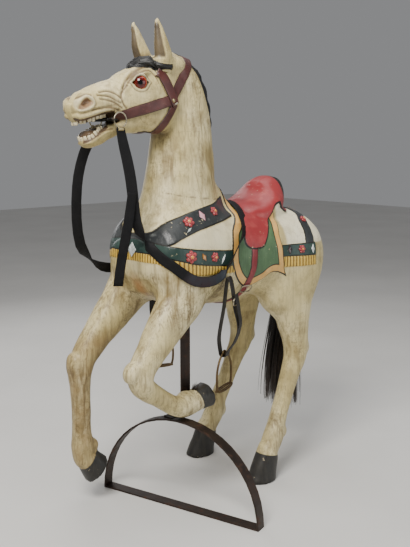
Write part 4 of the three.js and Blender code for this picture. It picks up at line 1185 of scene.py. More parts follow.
def along(rows, count):
    """The CAD model's own smooth route through control rows."""
    A = np.asarray(rows, float)

    def curve(Q, t):
        n = len(Q)
        p = (n - 1) * t
        i = int(math.floor(p))
        w = p - i
        if w == 0 and i == n - 1:
            i, w = n - 2, 1.0
        p1, p2 = Q[i], Q[i + 1]
        p0 = Q[i - 1] if i > 0 else 2 * Q[0] - Q[1]
        p3 = Q[i + 2] if i + 2 < n else 2 * Q[n - 1] - Q[n - 2]
        d0 = ((p0 - p1) ** 2).sum() ** .25
        d1 = ((p1 - p2) ** 2).sum() ** .25
        d2 = ((p2 - p3) ** 2).sum() ** .25
        d1 = 1.0 if d1 < 1e-4 else d1
        d0 = d1 if d0 < 1e-4 else d0
        d2 = d1 if d2 < 1e-4 else d2
        t1 = ((p1 - p0) / d0 - (p2 - p0) / (d0 + d1) + (p2 - p1) / d1) * d1
        t2 = ((p2 - p1) / d1 - (p3 - p1) / (d1 + d2) + (p3 - p2) / d2) * d1
        return p1 + t1 * w + (-3 * p1 + 3 * p2 - 2 * t1 - t2) * w * w + (2 * p1 - 2 * p2 + t1 + t2) * w ** 3

    out = []
    for k in range(count + 1):
        t = k / count
        p = curve(A[:, :3], t)
        s = curve(A[:, 3:], t)
        out.append(np.concatenate([p, s / max(np.linalg.norm(s), 1e-9)]))
    return np.array(out)


def strap_mesh(name, C, S, width, thick, mat, rep=None, closed=False, faces=None, up=None, wob=0.0):
    """A flat strap with rounded edges, from centre points and side directions in the row frame."""
    C, S = np.asarray(C, float), np.asarray(S, float)
    n = len(C)
    W = np.full(n, width) if np.isscalar(width) else np.asarray(width)
    if closed:
        T = np.roll(C, -1, 0) - np.roll(C, 1, 0)
    else:
        T = np.gradient(C, axis=0)
    T /= np.maximum(np.linalg.norm(T, axis=1, keepdims=True), 1e-9)
    S = S - (S * T).sum(1)[:, None] * T
    S /= np.maximum(np.linalg.norm(S, axis=1, keepdims=True), 1e-9)
    U = np.cross(T, S)
    prof = [(-1, 0), (-.97, .55), (-.90, .92), (-.45, 1), (0, 1.03), (.45, 1), (.90, .92), (.97, .55), (1, 0), (.97, -.55), (.90, -.92),
            (.45, -1), (0, -1.03), (-.45, -1), (-.90, -.92), (-.97, -.55)]
    m = len(prof)
    V, run, acr, edg, fac = [], [], [], [], []
    cum = np.concatenate([[0], np.cumsum(np.linalg.norm(np.diff(C, axis=0), axis=1))])
    for i in range(n):
        for a, b in prof:
            w = W[i] / 2 * (1 + wob * math.sin(cum[i] * 61 + (3 if a > 0 else 0)) * .5)
            V.append(C[i] + S[i] * a * w + U[i] * b * thick / 2)
            run.append(cum[i])
            acr.append(a * W[i] / 2)
            edg.append(abs(a))
            fac.append(max(0.0, b) if faces is None else max(0.0, b) * faces[i])
    Fc = []
    for i in range(n if closed else n - 1):
        j = (i + 1) % n
        for k in range(m):
            l = (k + 1) % m
            Fc.append((i * m + k, j * m + k, j * m + l, i * m + l))
    if not closed:
        Fc.append(tuple(range(m)))
        Fc.append(tuple(reversed([(n - 1) * m + k for k in range(m)])))
    ob = mesh_piece(name, V, Fc, mat, rep=rep)
    bmy = bmesh.new()
    bmy.from_mesh(ob.data)
    bmesh.ops.recalc_face_normals(bmy, faces=bmy.faces)
    bmy.to_mesh(ob.data)
    bmy.free()
    for k, v in (("run", run), ("across", acr), ("edge", edg), ("face", fac)):
        at = ob.data.attributes.new(k, "FLOAT", "POINT")
        at.data.foreach_set("value", np.array(v, dtype=np.float32))
    return ob


def turned(S):
    """Design directions to row directions."""
    S = np.asarray(S, float).reshape(-1, 3).copy()
    S[:, 0] *= -1
    S[:, 1] *= -1
    return S


route = along(REIN_NEAR + REIN_FAR, 78)
Crein = row(route[:, :3] / 1000)
Srein = turned(route[:, 3:])
zr, fr_ = route[:, 2], route[:, 0]
lit = np.zeros(len(route))
lit[(np.arange(len(route)) > 20) & (np.arange(len(route)) < 31)] = 1
# the last two colours are the painted sheen on the lit swag of the rein
rein_mat = webbing("rein_webbing", "#0B0B0D", "#141315", "#33262A", "#2E3238")
rein = strap_mesh("rein_strap", Crein, Srein, REIN_W, REIN_T, rein_mat, rep=["rein"], faces=lit)
end_route = along(REIN_END, 24)
rein_tail = strap_mesh("rein_free_end", row(end_route[:, :3] / 1000), turned(end_route[:, 3:]), REIN_W, REIN_T, rein_mat,
                       rep=["rein_end"], faces=np.zeros(25))
# ------------------------------------------------------------------ the carved horse
STEP = 0.0060
fs = np.arange(F0 + .03, F1 - .02, STEP)
ls = np.arange(-0.235, 0.236, STEP)
zs = np.arange(-0.012, 1.43, STEP)
V0, Q0 = surface_nets(grid_field(fs, ls, zs), np.array([fs[0], ls[0], zs[0]]), STEP)
# keep the one connected body
bm = bmesh.new()
bv = [bm.verts.new(v) for v in V0]
bm.verts.index_update()
for q in Q0:
    try:
        bm.faces.new([bv[i] for i in q])
    except ValueError:
        pass
seen = set()
groups = []
for v in bm.verts:
    if v.index in seen:
        continue
    stack, grp = [v], []
    seen.add(v.index)
    while stack:
        x = stack.pop()
        grp.append(x)
        for e in x.link_edges:
            y = e.other_vert(x)
            if y.index not in seen:
                seen.add(y.index)
                stack.append(y)
    groups.append(grp)
groups.sort(key=len)
for g in groups[:-1]:
    bmesh.ops.delete(bm, geom=g, context="VERTS")


def fine_edges(bm, test, least):
    out = set()
    for f in bm.faces:
        c = f.calc_center_median()
        if test(c.x, c.y, c.z):
            for e in f.edges:
                if e.calc_length() > least:
                    out.add(e)
    return list(out)


def detail_area(f, l, z):
    if z > 1.03 and f > .25:
        return True
    if z > .64 and z < .99 and f < .42 and f > -.26 and abs(l) > .02:
        return z < .90 or f < .10
    return False


def face_area(f, l, z):
    if f > .535 and z > 1.06:
        return True
    return f > .335 and z > 1.19 and z < 1.30 and abs(l) > .02


bmesh.ops.subdivide_edges(bm, edges=fine_edges(bm, detail_area, .0035), cuts=1, use_grid_fill=True)
bm.verts.ensure_lookup_table()
bmesh.ops.subdivide_edges(bm, edges=fine_edges(bm, face_area, .0017), cuts=1, use_grid_fill=True)
bmesh.ops.triangulate(bm, faces=[f for f in bm.faces if len(f.verts) > 4])
bm.verts.index_update()
P = np.array([v.co[:] for v in bm.verts])
faces = [[v.index for v in f.verts] for f in bm.faces]
bm.free()
P = project(base_field, P, 4)
# even out the seat and the cantle
quads = np.array([f for f in faces if len(f) == 4])
tris = np.array([f for f in faces if len(f) == 3]).reshape(-1, 3)
E = np.concatenate([quads[:, [a, (a + 1) % 4]] for a in range(4)] + [tris[:, [a, (a + 1) % 3]] for a in range(3)])
seat = step(P[:, 2], .850, .885) * (1 - step(P[:, 0], .045, .080)) * step(P[:, 0], -.26, -.24)
E = E[(seat[E[:, 0]] > 0) | (seat[E[:, 1]] > 0)]
E = np.concatenate([E, E[:, ::-1]])
cnt = np.maximum(np.bincount(E[:, 0], minlength=len(P)), 1)
ears = step(P[:, 2], 1.300, 1.312) * (P[:, 0] > .25) * .55
E2 = np.concatenate([quads[:, [a, (a + 1) % 4]] for a in range(4)] + [tris[:, [a, (a + 1) % 3]] for a in range(3)])
E2 = E2[(ears[E2[:, 0]] > 0) | (ears[E2[:, 1]] > 0)]
E2 = np.concatenate([E2, E2[:, ::-1]])
cnt2 = np.maximum(np.bincount(E2[:, 0], minlength=len(P)), 1)
for _ in range(3):
    S3 = np.stack([np.bincount(E2[:, 0], weights=P[E2[:, 1], a], minlength=len(P)) for a in range(3)], 1)
    P = P + (S3 / cnt2[:, None] - P) * ears[:, None] * (cnt2[:, None] > 2)
for _ in range(26):
    S3 = np.stack([np.bincount(E[:, 0], weights=P[E[:, 1], a], minlength=len(P)) for a in range(3)], 1)
    P = P + (S3 / cnt[:, None] - P) * (seat * .6)[:, None] * (cnt[:, None] > 2)
G = gradient(base_field, P)
# the cantle leans back and narrows upward
rear = step(-P[:, 0], .09, .16) * step(P[:, 2], .855, .870)
tt = np.clip((P[:, 2] - .86) / .09, 0, 1)
P[:, 0] += (.020 * (1 - tt) - .008 * tt) * rear
P[:, 1] *= 1 - .20 * step(P[:, 2], .885, .95) * step(-P[:, 0], .03, .12)
N = G / np.maximum(np.linalg.norm(G, axis=1, keepdims=True), 1e-9)
attrs = {}
H = relief(P, N, attrs)
grounded = P[:, 2] < 0.0015
grounded = P[:, 2] < 0.0015
H[grounded] = 0
H *= step(P[:, 2], .0, .02)
PF = P + N * H[:, None]
# the skin between the lids lies back under the glass
for side in (1, -1):
    op = np.where(PF[:, 1] * side > .02, eye_opening(PF), -1)
    m = op > 0
    c = np.array([EYE_SEEN[0], side * EYE_SEEN[1], EYE_SEEN[2]])
    ax = np.array([EYE_AXIS[0], side * EYE_AXIS[1], 0])
    Q = PF[m] - c
    h = Q @ ax
    rr = np.linalg.norm(Q - h[:, None] * ax, axis=1)
    deep = np.sqrt(np.maximum(.0205 ** 2 - rr ** 2, 1e-6)) - .0032
    w = np.clip(op[m] / .0012, 0, 1)
    PF[m] += ax * ((np.minimum(h, deep) - h) * w)[:, None]
PF[:, 2] = np.maximum(PF[:, 2], 0)
# ------------------------------------------------------------------ attributes of the carved body
def hoof_sd(P):
    F, L, Z = P.T
    out = np.full(len(P), -1.0)
    starts = {"leg_front_left": .215, "leg_front_right": .137, "leg_hind_left": .085, "leg_hind_right": .085}
    for n in starts:
        lb = limbs[n]
        m = (F > lb.f0) & (F < lb.f1) & (Z > lb.z0) & (Z < lb.z1) & (L > lb.l0) & (L < lb.l1)
        if n == "leg_front_left":
            m &= (Z < .40) & (F < .30)
        else:
            m &= Z < .20
        if not m.any():
            continue
        g = lb.look(F[m], Z[m])
        if n == "leg_front_left":
            d = g["s"] - (lb.length - .043)
        elif n == "leg_front_right":
            d = g["s"] - (lb.length - .052)
        else:
            d = .084 - Z[m] + (F[m] + .02) * .22
        out[m] = np.maximum(out[m], d)
    return out


F, L, Z = P.T
attrs["hoof"] = hoof_sd(P)
# occlusion sampled from the field, how enclosed each point is: painted shade with grime in corners
occ = np.zeros(len(P))
for r, w in ((.006, .30), (.014, .30), (.030, .25), (.060, .15)):
    occ += w * np.clip(1 - base_field(*(PF + N * r).T) / r, 0, 1.2)
attrs["recess_shade_and_grime"] = np.clip(occ * 1.25, 0, 1)
attrs["ridge"] = np.clip((H - .0015) / .003, 0, 1) * (attrs["blanket"] < 0) * (attrs["saddle"] < 0) * (attrs["up"] < 0) * (attrs["lower"] < 0)
AL = np.abs(L)
eye_d = np.sqrt((F - EYE[0]) ** 2 + (AL - EYE[1]) ** 2 + (Z - EYE[2]) ** 2)
# painted shade in the lid opening round the glass eye
attrs["eye"] = step(eye_opening(P), -.0008, .0014) * (AL > .03)
nos = poly_sd(F, Z, NOSTRIL)
attrs["nose"] = step(nos, -.0015, .0030) * (AL > .016) * (F > .54) * (Z > 1.15)
mu = poly_sd(F, Z, mm([(470, 1150), (486, 1157), (521, 1151), (549, 1143), (576, 1134), (588, 1130), (585, 1095), (556, 1085), (530, 1101),
                       (494, 1122), (470, 1135)]))
attrs["mouth"] = np.maximum(step(mu, -.001, .003) * (F > .44), attrs["gum"])
attrs["rim"] = np.where((F < -.120) & (Z > .86), np.maximum((-N[:, 0] - .62) * .012, -.158 - F), -1.0)
# upper rump painted paler as light from above; the band between the collar straps is paler paint
pale_and_toplit = step(F, -.345, -.285) * (1 - step(F, -.10, -.085)) * step(Z, .752, .758)
pale_and_toplit = np.maximum(pale_and_toplit, .55 * step(between(F, Z, UP_BOT, LO_TOP), 0, .004) * (F > .1))
attrs["pale_and_toplit"] = pale_and_toplit
# where the paint is most worn: nape, throat and legs; the breast darker as wear and painted shade, the far foreleg
# browner as painted shade, the rump and thigh kept pale as painted light
wear_and_shade = np.full(len(P), .34)
wear_and_shade = np.maximum(wear_and_shade, .95 * step(Z, .90, .97) * (1 - step(F, .24, .29)) * step(.24 - F + (Z - 1.0) * .32, -.02, .06))
wear_and_shade = np.maximum(wear_and_shade, .80 * step(Z, .92, 1.0) * (1 - step(Z, 1.10, 1.20)) * (F > .05))
wear_and_shade = np.maximum(wear_and_shade, .75 * (1 - step(Z, .48, .60)))
# breast: worn paint with painted shade
wear_and_shade = np.maximum(wear_and_shade, 1.0 * step(F, .08, .18) * step(Z, .50, .60) * (1 - step(Z, .70, .735)))
# painted light: rump and thigh kept pale
wear_and_shade = np.where((F < -.05) & (Z > .50), np.minimum(wear_and_shade, .24), wear_and_shade)
# painted shade: the far foreleg browner
wear_and_shade = np.maximum(wear_and_shade, 1.6 * (1 - step(Z, .48, .62)) * (L < -.05) * (F > .2))
wear_and_shade = np.where((Z > 1.06) & (F > .34), .26, wear_and_shade)
attrs["wear_and_shade"] = wear_and_shade
attrs["stain"] = 1.1 * np.exp(-(((F - .392) / .05) ** 2 + ((L - .016) / .028) ** 2 + ((Z - .664) / .042) ** 2))
attrs["stain"] = np.maximum(attrs["stain"], .45 * np.exp(-(((F - .45) / .03) ** 2 + ((AL - .11) / .05) ** 2 + ((Z - .44) / .02) ** 2)))

R = row(PF)
Ff = [tuple(f) for f in faces]
horse = mesh_piece("horse_carved", R, Ff, horse_material(), rep=["horse_body"])
# row = design turned half round, so faces keep their winding
me = horse.data
for k, v in attrs.items():
    at = me.attributes.new("h_" + k, "FLOAT", "POINT")
    at.data.foreach_set("value", np.ascontiguousarray(v, dtype=np.float32))
bmx = bmesh.new()
bmx.from_mesh(me)
vol = bmx.calc_volume(signed=True)
if vol < 0:
    bmesh.ops.reverse_faces(bmx, faces=bmx.faces)
    bmx.to_mesh(me)
TREE = BVHTree.FromBMesh(bmx)
bmx.free()
print("horse", len(me.vertices), "verts", sum(len(p.vertices) - 2 for p in me.polygons), "triangles", "volume", round(abs(vol), 4))


def onto(pt, lift=0.0):
    """Nearest carved surface to a row point: place and outward normal."""
    co, no, _, _ = TREE.find_nearest(Vector(pt))
    return co + no * lift, no
# ------------------------------------------------------------------ bridle, laid on the carved head
def cast(o, d):
    """First carved surface met from design point o along design direction d."""
    O = row1(*o)
    D = Vector((-d[0], -d[1], d[2])).normalized()
    hit, no, _, _ = TREE.ray_cast(O, D)
    return (None, None) if hit is None else (hit, no)


def lay(points, normals, name, width, thick, mat, lift=0.0, rep=None, rounds=3):
    C = np.array([p[:] for p in points])
    Nn = np.array([n[:] for n in normals])
    for _ in range(rounds):
        C[1:-1] = C[1:-1] * .5 + (C[:-2] + C[2:]) * .25
        Nn[1:-1] = Nn[1:-1] * .5 + (Nn[:-2] + Nn[2:]) * .25
    Nn /= np.linalg.norm(Nn, axis=1, keepdims=True)
    T = np.gradient(C, axis=0)
    C = C + Nn * (thick / 2 + lift)
    return strap_mesh(name, C, np.cross(T, Nn), width, thick, mat, rep=rep, wob=.02)


bridle_mat = leather("bridle_leather", "#43201D", "#5C2E29", "#7E5244", .40)


def wrap(p0, p1, ct, th0, th1, n):
    d = np.array([p1[0] - p0[0], p1[1] - p0[1]])
    d = d / np.linalg.norm(d)
    c = np.array(p0) + d * ct
    pts, nos = [], []
    for th in np.linspace(math.radians(th0), math.radians(th1), n):
        r = (d[0] * math.sin(th), math.cos(th), d[1] * math.sin(th))
        o = (c[0] + r[0] * .26, r[1] * .26, c[1] + r[2] * .26)
        h, no = cast(o, (-r[0], -r[1], -r[2]))
        if h is not None:
            pts.append(h)
            nos.append(no)
    return pts, nos


# crown piece and throat strap run as one, the cheek straps and brow band lie over them
a, b = wrap((.311, 1.186), (.196, 1.331), .075, -40, 220, 60)
lay(a, b, "bridle_crown", .030, .003, bridle_mat, .0006, ["bridle"])
a, b = wrap((.286, 1.195), (.350, 1.106), .050, -30, 210, 54)
lay(a, b, "bridle_throat", .029, .003, bridle_mat, .0006)
for th0, th1, tag in ((-48, 28, "left"), (152, 228, "right")):
    a, b = wrap((.300, 1.186), (.374, 1.318), .066, th0, th1, 34)
    lay(a, b, "bridle_brow_" + tag, .033, .003, bridle_mat, .0042)
for s, tag in ((1, "left"), (-1, "right")):
    pts, nos = [], []
    for t in np.linspace(0, 1, 34):
        f, z = .288 + (.476 - .288) * t, 1.1985 + (1.1455 - 1.1985) * t
        h, no = cast((f, s * .22, z), (0, -s, 0))
        if h is None:
            continue
        if len(pts) and abs(h.y - pts[-1].y) > .012:
            h = Vector((h.x, pts[-1].y * .9 + (OY - s * .052) * .1, h.z))
            no = nos[-1]
        pts.append(h)
        nos.append(no)
    lay(pts, nos, "bridle_cheek_" + tag, .030, .003, bridle_mat, .0022, rounds=6)


def lathe(name, prof, at, axis, mat, seg=28, rep=None, squash=1.0):
    """Turned piece: prof = (radius, height) pairs along axis."""
    ax = Vector(axis).normalized()
    q = ax.to_track_quat("Z", "Y").to_matrix()
    V, Fc = [], []
    for r, h in prof:
        for k in range(seg):
            t = 2 * math.pi * k / seg
            V.append(Vector(at) + q @ Vector((r * math.cos(t), r * math.sin(t) * squash, h)))
    for i in range(len(prof) - 1):
        for k in range(seg):
            l = (k + 1) % seg
            Fc.append((i * seg + k, i * seg + l, (i + 1) * seg + l, (i + 1) * seg + k))
    Fc.append(tuple(reversed(range(seg))))
    Fc.append(tuple((len(prof) - 1) * seg + k for k in range(seg)))
    return mesh_piece(name, V, Fc, mat, rep=rep)


def tube(name, C, rad, mat, seg=12, closed=False, rep=None, flat=1.0, up=None):
    C = np.asarray(C, float)
    n = len(C)
    rad = np.full(n, rad) if np.isscalar(rad) else np.asarray(rad)
    T = (np.roll(C, -1, 0) - np.roll(C, 1, 0)) if closed else np.gradient(C, axis=0)
    T /= np.maximum(np.linalg.norm(T, axis=1, keepdims=True), 1e-9)
    ref = np.array(up if up is not None else (0, 0, 1.0))
    V, Fc = [], []
    A = np.cross(T, ref)
    bad = np.linalg.norm(A, axis=1) < .2
    A[bad] = np.cross(T[bad], np.array((1.0, .3, 0)))
    for i in range(1, n):
        if A[i] @ A[i - 1] < 0:
            A[i] = -A[i]
    A /= np.linalg.norm(A, axis=1, keepdims=True)
    B = np.cross(T, A)
    for i in range(n):
        for k in range(seg):
            t = 2 * math.pi * k / seg
            V.append(C[i] + A[i] * math.cos(t) * rad[i] + B[i] * math.sin(t) * rad[i] * flat)
    for i in range(n if closed else n - 1):
        j = (i + 1) % n
        for k in range(seg):
            l = (k + 1) % seg
            Fc.append((i * seg + k, i * seg + l, j * seg + l, j * seg + k))
    if not closed:
        Fc.append(tuple(reversed(range(seg))))
        Fc.append(tuple((n - 1) * seg + k for k in range(seg)))
    ob = mesh_piece(name, V, Fc, mat, rep=rep)
    bmy = bmesh.new()
    bmy.from_mesh(ob.data)
    bmesh.ops.recalc_face_normals(bmy, faces=bmy.faces)
    bmy.to_mesh(ob.data)
    bmy.free()
    return ob


brass = iron("worn_brass", "#9A8A62", "#C4B68C", "#5A4A30", .25, .9, .32, 2)
steel = iron("bit_steel", "#8D8570", "#B9B09A", "#5B4B36", .35, .95, .34, 2)
blackiron = iron("bit_iron", "#1A1918", "#2C2A28", "#4A3424", .35, .7, .42, 2)
for s, tag in ((1, "left"), (-1, "right")):
    h, no = cast((.309, s * .22, 1.1900), (0, -s, 0))
    lathe("bridle_rivet_" + tag, [(.0052, 0), (.0056, .0022), (.0046, .0040), (.0026, .0050)], h + no * .0068, no, brass, 20)
    h, no = cast((.3015, s * .22, 1.1815), (0, -s, 0))
    # bent metal keeper under the rivet
    T = Vector((-.86, 0, -.42))
    C = [h + no * .0075 + T * u for u in np.linspace(-.011, .011, 9)]
    strap_mesh("bridle_keeper_" + tag, [c[:] for c in C], [(-.42, 0, .86)] * 9, .005, .0018, steel)
# bit rings and bar
RF, RL, RZ, RR, RW = .478, .057, 1.136, .0202, .0019
for s, tag in ((1, "left"), (-1, "right")):
    t = np.linspace(0, 2 * math.pi, 49)[:-1]
    ring_pts = row(np.stack([RF + RR * np.cos(t), np.full(48, s * RL), RZ + RR * np.sin(t)], 1))
    tube("bit_ring_" + tag + "_fine", ring_pts, RW, steel, 12, True, ["bit_ring_" + tag], up=(0, 1, 0))
    # rein keeper: folded end of the strap with its metal tab
    C = row([(.4785, s * (.0570 + .0050 * math.sin(u)), 1.1150 - .0025 + .0055 * math.cos(u)) for u in np.linspace(0, 2 * math.pi, 17)[:-1]])
    strap_mesh("rein_tab_" + tag, C, [(-1, 0, 0)] * 16, .019, .0016, brass, closed=True)
for nm in ("bit_bar",):
    bpy.data.objects[nm].data.materials.clear()
    bpy.data.objects[nm].data.materials.append(blackiron)
# twisted cheek of the bit, seen at the corner of the mouth
for s, tag in ((1, "left"), (-1, "right")):
    for j in (0, 1):
        C, rr = [], []
        for u in np.linspace(0, 1, 30):
            w = u * 7 + j * math.pi
            C.append((.496 + .022 * u + .0034 * math.cos(w), s * (.052 - .016 * u) + .0034 * math.sin(w) * s, 1.139 - .004 * u))
            rr.append(.0030 - .0012 * u)
        tube("bit_link_%s_%d" % (tag, j), row(C), np.array(rr) * 1.35, blackiron, 8)

# ------------------------------------------------------------------ glass eyes
def eye_material():
    M = Mat("eye_glass")
    g = M.attr("gaze")          # 0 at the middle of the pupil, 1 at a right angle
    n = M.noise(260, 4)
    ang = M.attr("spoke")
    fib = M.noise(1, 3, .6, M.scaled((300, 300, 300)))
    col = M.mix(M.rng(g, .22, .50), "#2A0403", "#6A0F0A")
    col = M.mix(M.rng(fib, .45, .65, 0, .5), col, "#6E1C10")
    col = M.mix(M.rng(g, .50, .58), col, "#8A2612")
    col = M.mix(M.ma("MULTIPLY", M.rng(g, .57, .61), M.rng(g, .70, .65)), col, "#C8562A")
    col = M.mix(M.rng(g, .66, .72), col, "#1E0A07")
    col = M.mix(M.rng(g, .225, .195), col, "#020101")
    return M.done(col, M.rng(n, .2, .8, .04, .08), None, Coat_Weight=.55, Coat_Roughness=.02, Specular_IOR_Level=.35)


eye_mat = eye_material()
for s, tag in ((1, "left"), (-1, "right")):
    (x0, y0, z0), (x1, y1, z1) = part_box("eye_" + tag)
    c = Vector(((x0 + x1) / 2, (y0 + y1) / 2, (z0 + z1) / 2))
    c = c + Vector((EYE[0] - EYE_SEEN[0], s * (EYE[1] - EYE_SEEN[1]), 0))
    r = .0205
    gz = Vector((-.57, -s * .82, -.02)).normalized()
    q = gz.to_track_quat("Z", "Y").to_matrix()
    V, Fc, ga, sp = [], [], [], []
    nu, nv = 40, 28
    V.append(c + gz * r)
    ga.append(0)
    sp.append(0)
    for i in range(1, nv):
        a = math.pi * i / nv
        for k in range(nu):
            t = 2 * math.pi * k / nu
            V.append(c + q @ Vector((r * math.sin(a) * math.cos(t), r * math.sin(a) * math.sin(t), r * math.cos(a))))
            ga.append(a / (math.pi / 2))
            sp.append(t)
    V.append(c - gz * r)
    ga.append(2)
    sp.append(0)
    for k in range(nu):
        Fc.append((0, 1 + k, 1 + (k + 1) % nu))
        Fc.append((len(V) - 1, 1 + (nv - 2) * nu + (k + 1) % nu, 1 + (nv - 2) * nu + k))
    for i in range(nv - 2):
        for k in range(nu):
            l = (k + 1) % nu
            Fc.append((1 + i * nu + k, 1 + (i + 1) * nu + k, 1 + (i + 1) * nu + l, 1 + i * nu + l))
    ob = mesh_piece("eye_glass_" + tag, V, Fc, eye_mat, rep=["eye_" + tag])
    for k, v in (("gaze", ga), ("spoke", sp)):
        at = ob.data.attributes.new(k, "FLOAT", "POINT")
        at.data.foreach_set("value", np.array(v, dtype=np.float32))

# ------------------------------------------------------------------ teeth
def tooth_material():
    M = Mat("tooth_paint")
    col = M.mix(M.rng(M.noise(120, 4), .35, .7), "#E4D9B6", "#CBBB92")
    col = M.mix(M.rng(M.noise(300, 4, .7), .55, .7, 0, .6), col, "#7D6444")
    col = M.mix(M.rng(M.attr("root"), .55, 1.0), col, "#6A4E34")
    return M.done(col, .38, M.bump(M.noise(400, 3), .3, .0004), Coat_Weight=.2)


def teeth(name, path, up, tall, wide, deep, gap, mat):
    Pp = spline(path, 14)
    cum = np.concatenate([[0], np.cumsum(np.linalg.norm(np.diff(Pp, axis=0), axis=1))])
    n = int(cum[-1] / (wide + gap))
    V, Fc, rt = [], [], []
    for i in range(n):
        s0 = (i + .5) * cum[-1] / n
        c = np.array([np.interp(s0, cum, Pp[:, k]) for k in range(3)])
        c2 = np.array([np.interp(s0 + .001, cum, Pp[:, k]) for k in range(3)])
        t = (c2 - c) / np.linalg.norm(c2 - c)
        u = np.asarray(up(c), float)
        u = u - t * (u @ t)
        u /= np.linalg.norm(u)
        o = np.cross(t, u)
        w = cum[-1] / n - gap
        base = len(V)
        nu, nv = 8, 6
        jig = 1 + .10 * math.sin(i * 2.7)
        for a in range(nv + 1):
            y = a / nv
            for k in range(nu):
                th = 2 * math.pi * (k + .5) / nu
                cx, cy = math.cos(th), math.sin(th)
                sx = math.copysign(abs(cx) ** .45, cx)
                sy = math.copysign(abs(cy) ** .45, cy)
                end = (1 - max(0, (y - .70) / .30) ** 2 * .35)
                V.append(c + t * sx * w / 2 * end * (1 - .14 * (1 - y)) + o * sy * deep / 2 * end + u * (y * tall * jig))
                rt.append(1 - y)
        for a in range(nv):
            for k in range(nu):
                l = (k + 1) % nu
                Fc.append((base + a * nu + k, base + a * nu + l, base + (a + 1) * nu + l, base + (a + 1) * nu + k))
        Fc.append(tuple(base + nv * nu + k for k in range(nu)))
        Fc.append(tuple(reversed([base + k for k in range(nu)])))
    ob = mesh_piece(name, row(V), Fc, mat)
    bmy = bmesh.new()
    bmy.from_mesh(ob.data)
    bmesh.ops.recalc_face_normals(bmy, faces=bmy.faces)
    bmy.to_mesh(ob.data)
    bmy.free()
    at = ob.data.attributes.new("root", "FLOAT", "POINT")
    at.data.foreach_set("value", np.array(rt, dtype=np.float32))
    return ob


tooth = tooth_material()
def gumline(zf, f_back, f_turn, sink):
    """Half of a tooth row: points on the carved gum from the corner of the mouth round to the middle."""
    pts = []
    for f in np.linspace(f_back, f_turn, 7)[:-1]:
        h, no = cast((f, .2, zf(f)), (0, -1, 0))
        if h is not None:
            pts.append(unrow([h[:]])[0] + np.array((0, -sink, 0)))
    for th in np.linspace(90, 0, 8):
        a = math.radians(th)
        z = zf(f_turn + .035 * math.cos(a))
        h, no = cast((f_turn + .2 * math.cos(a), .2 * math.sin(a), z), (-math.cos(a), -math.sin(a), 0))
        if h is not None:
            pts.append(unrow([h[:]])[0] - np.array((sink * math.cos(a), sink * math.sin(a), 0)))
    pts[-1][1] = 0
    half = [tuple(p) for p in pts]
    return half + [(f, -l, z) for f, l, z in reversed(half[:-1])]


lip_z = lambda f: float(np.interp(f, [.486, .521, .549, .576, .587, .596], [1.162, 1.156, 1.148, 1.140, 1.137, 1.138]))
jaw_z = lambda f: float(np.interp(f, [.492, .528, .550, .565], [1.118, 1.096, 1.081, 1.075]))
UPP = gumline(lambda f: lip_z(f) - .0085, .500, .558, .0022)
UPP = [(f, l, lip_z(f) - .0015) for f, l, z in UPP]
LOW = gumline(lambda f: jaw_z(f) + .008, .504, .530, .0022)
LOW = [(f - .001, l, jaw_z(f) + .0030) for f, l, z in LOW]
teeth("teeth_upper", UPP, lambda c: (.04, 0, -1), .0150, .0112, .0072, .0016, tooth)
teeth("teeth_lower", LOW, lambda c: (.30, 0, .95), .0135, .0092, .0066, .0015, tooth)

# ------------------------------------------------------------------ carved flowers and set jewels
petal_mat = enamel("flower_red", "#A8383C", "#8C2A30", "#C9776A", .3)
heart_mat = enamel("flower_heart", "#E0A052", "#D98A3C", "#8A4A28", .2)


def flower(name, f, l, z, size, petals=6, turn=0.0, layers=2):
    h, no = onto(row1(f, l, z))
    q = no.to_track_quat("Z", "Y").to_matrix()
    V, Fc = [], []
    for ly in range(layers):
        R = size / 2 * (1.0 if ly == 0 else .60)
        nr, nt = 8, petals * 8
        base = len(V)
        V.append(h + q @ Vector((0, 0, .0042 + ly * .0014)))
        for i in range(1, nr + 1):
            x = i / nr
            for k in range(nt):
                t = 2 * math.pi * k / nt
                ph = (t + turn + ly * math.pi / petals) * petals / 2
                lobe = abs(math.cos(ph))
                r = R * x * (.60 + .40 * lobe ** .55)
                dome = (.0018 + .0018 * lobe) * math.sqrt(max(0, 1 - (2 * abs(x - .55)) ** 2)) if x > .1 else .001
                crease = -.0008 * max(0, 1 - lobe * 3)
                zz = .0016 + ly * .0022 + dome + crease
                if i == nr:
                    zz = -.0010
                V.append(h + q @ Vector((r * math.cos(t), r * math.sin(t), zz)))
        for k in range(nt):
            Fc.append((base, base + 1 + k, base + 1 + (k + 1) % nt))
        for i in range(nr - 1):
            for k in range(nt):
                l2 = (k + 1) % nt
                a0 = base + 1 + i * nt
                Fc.append((a0 + k, a0 + nt + k, a0 + nt + l2, a0 + l2))
        Fc.append(tuple(reversed([base + 1 + (nr - 1) * nt + k for k in range(nt)])))
    mesh_piece(name, V, Fc, petal_mat)
    rr = size * .145
    lathe(name + "_heart", [(rr, .0040), (rr * 1.02, .0056), (rr * .86, .0074), (rr * .55, .0086), (rr * .2, .0091)], h, no, heart_mat,
          20)


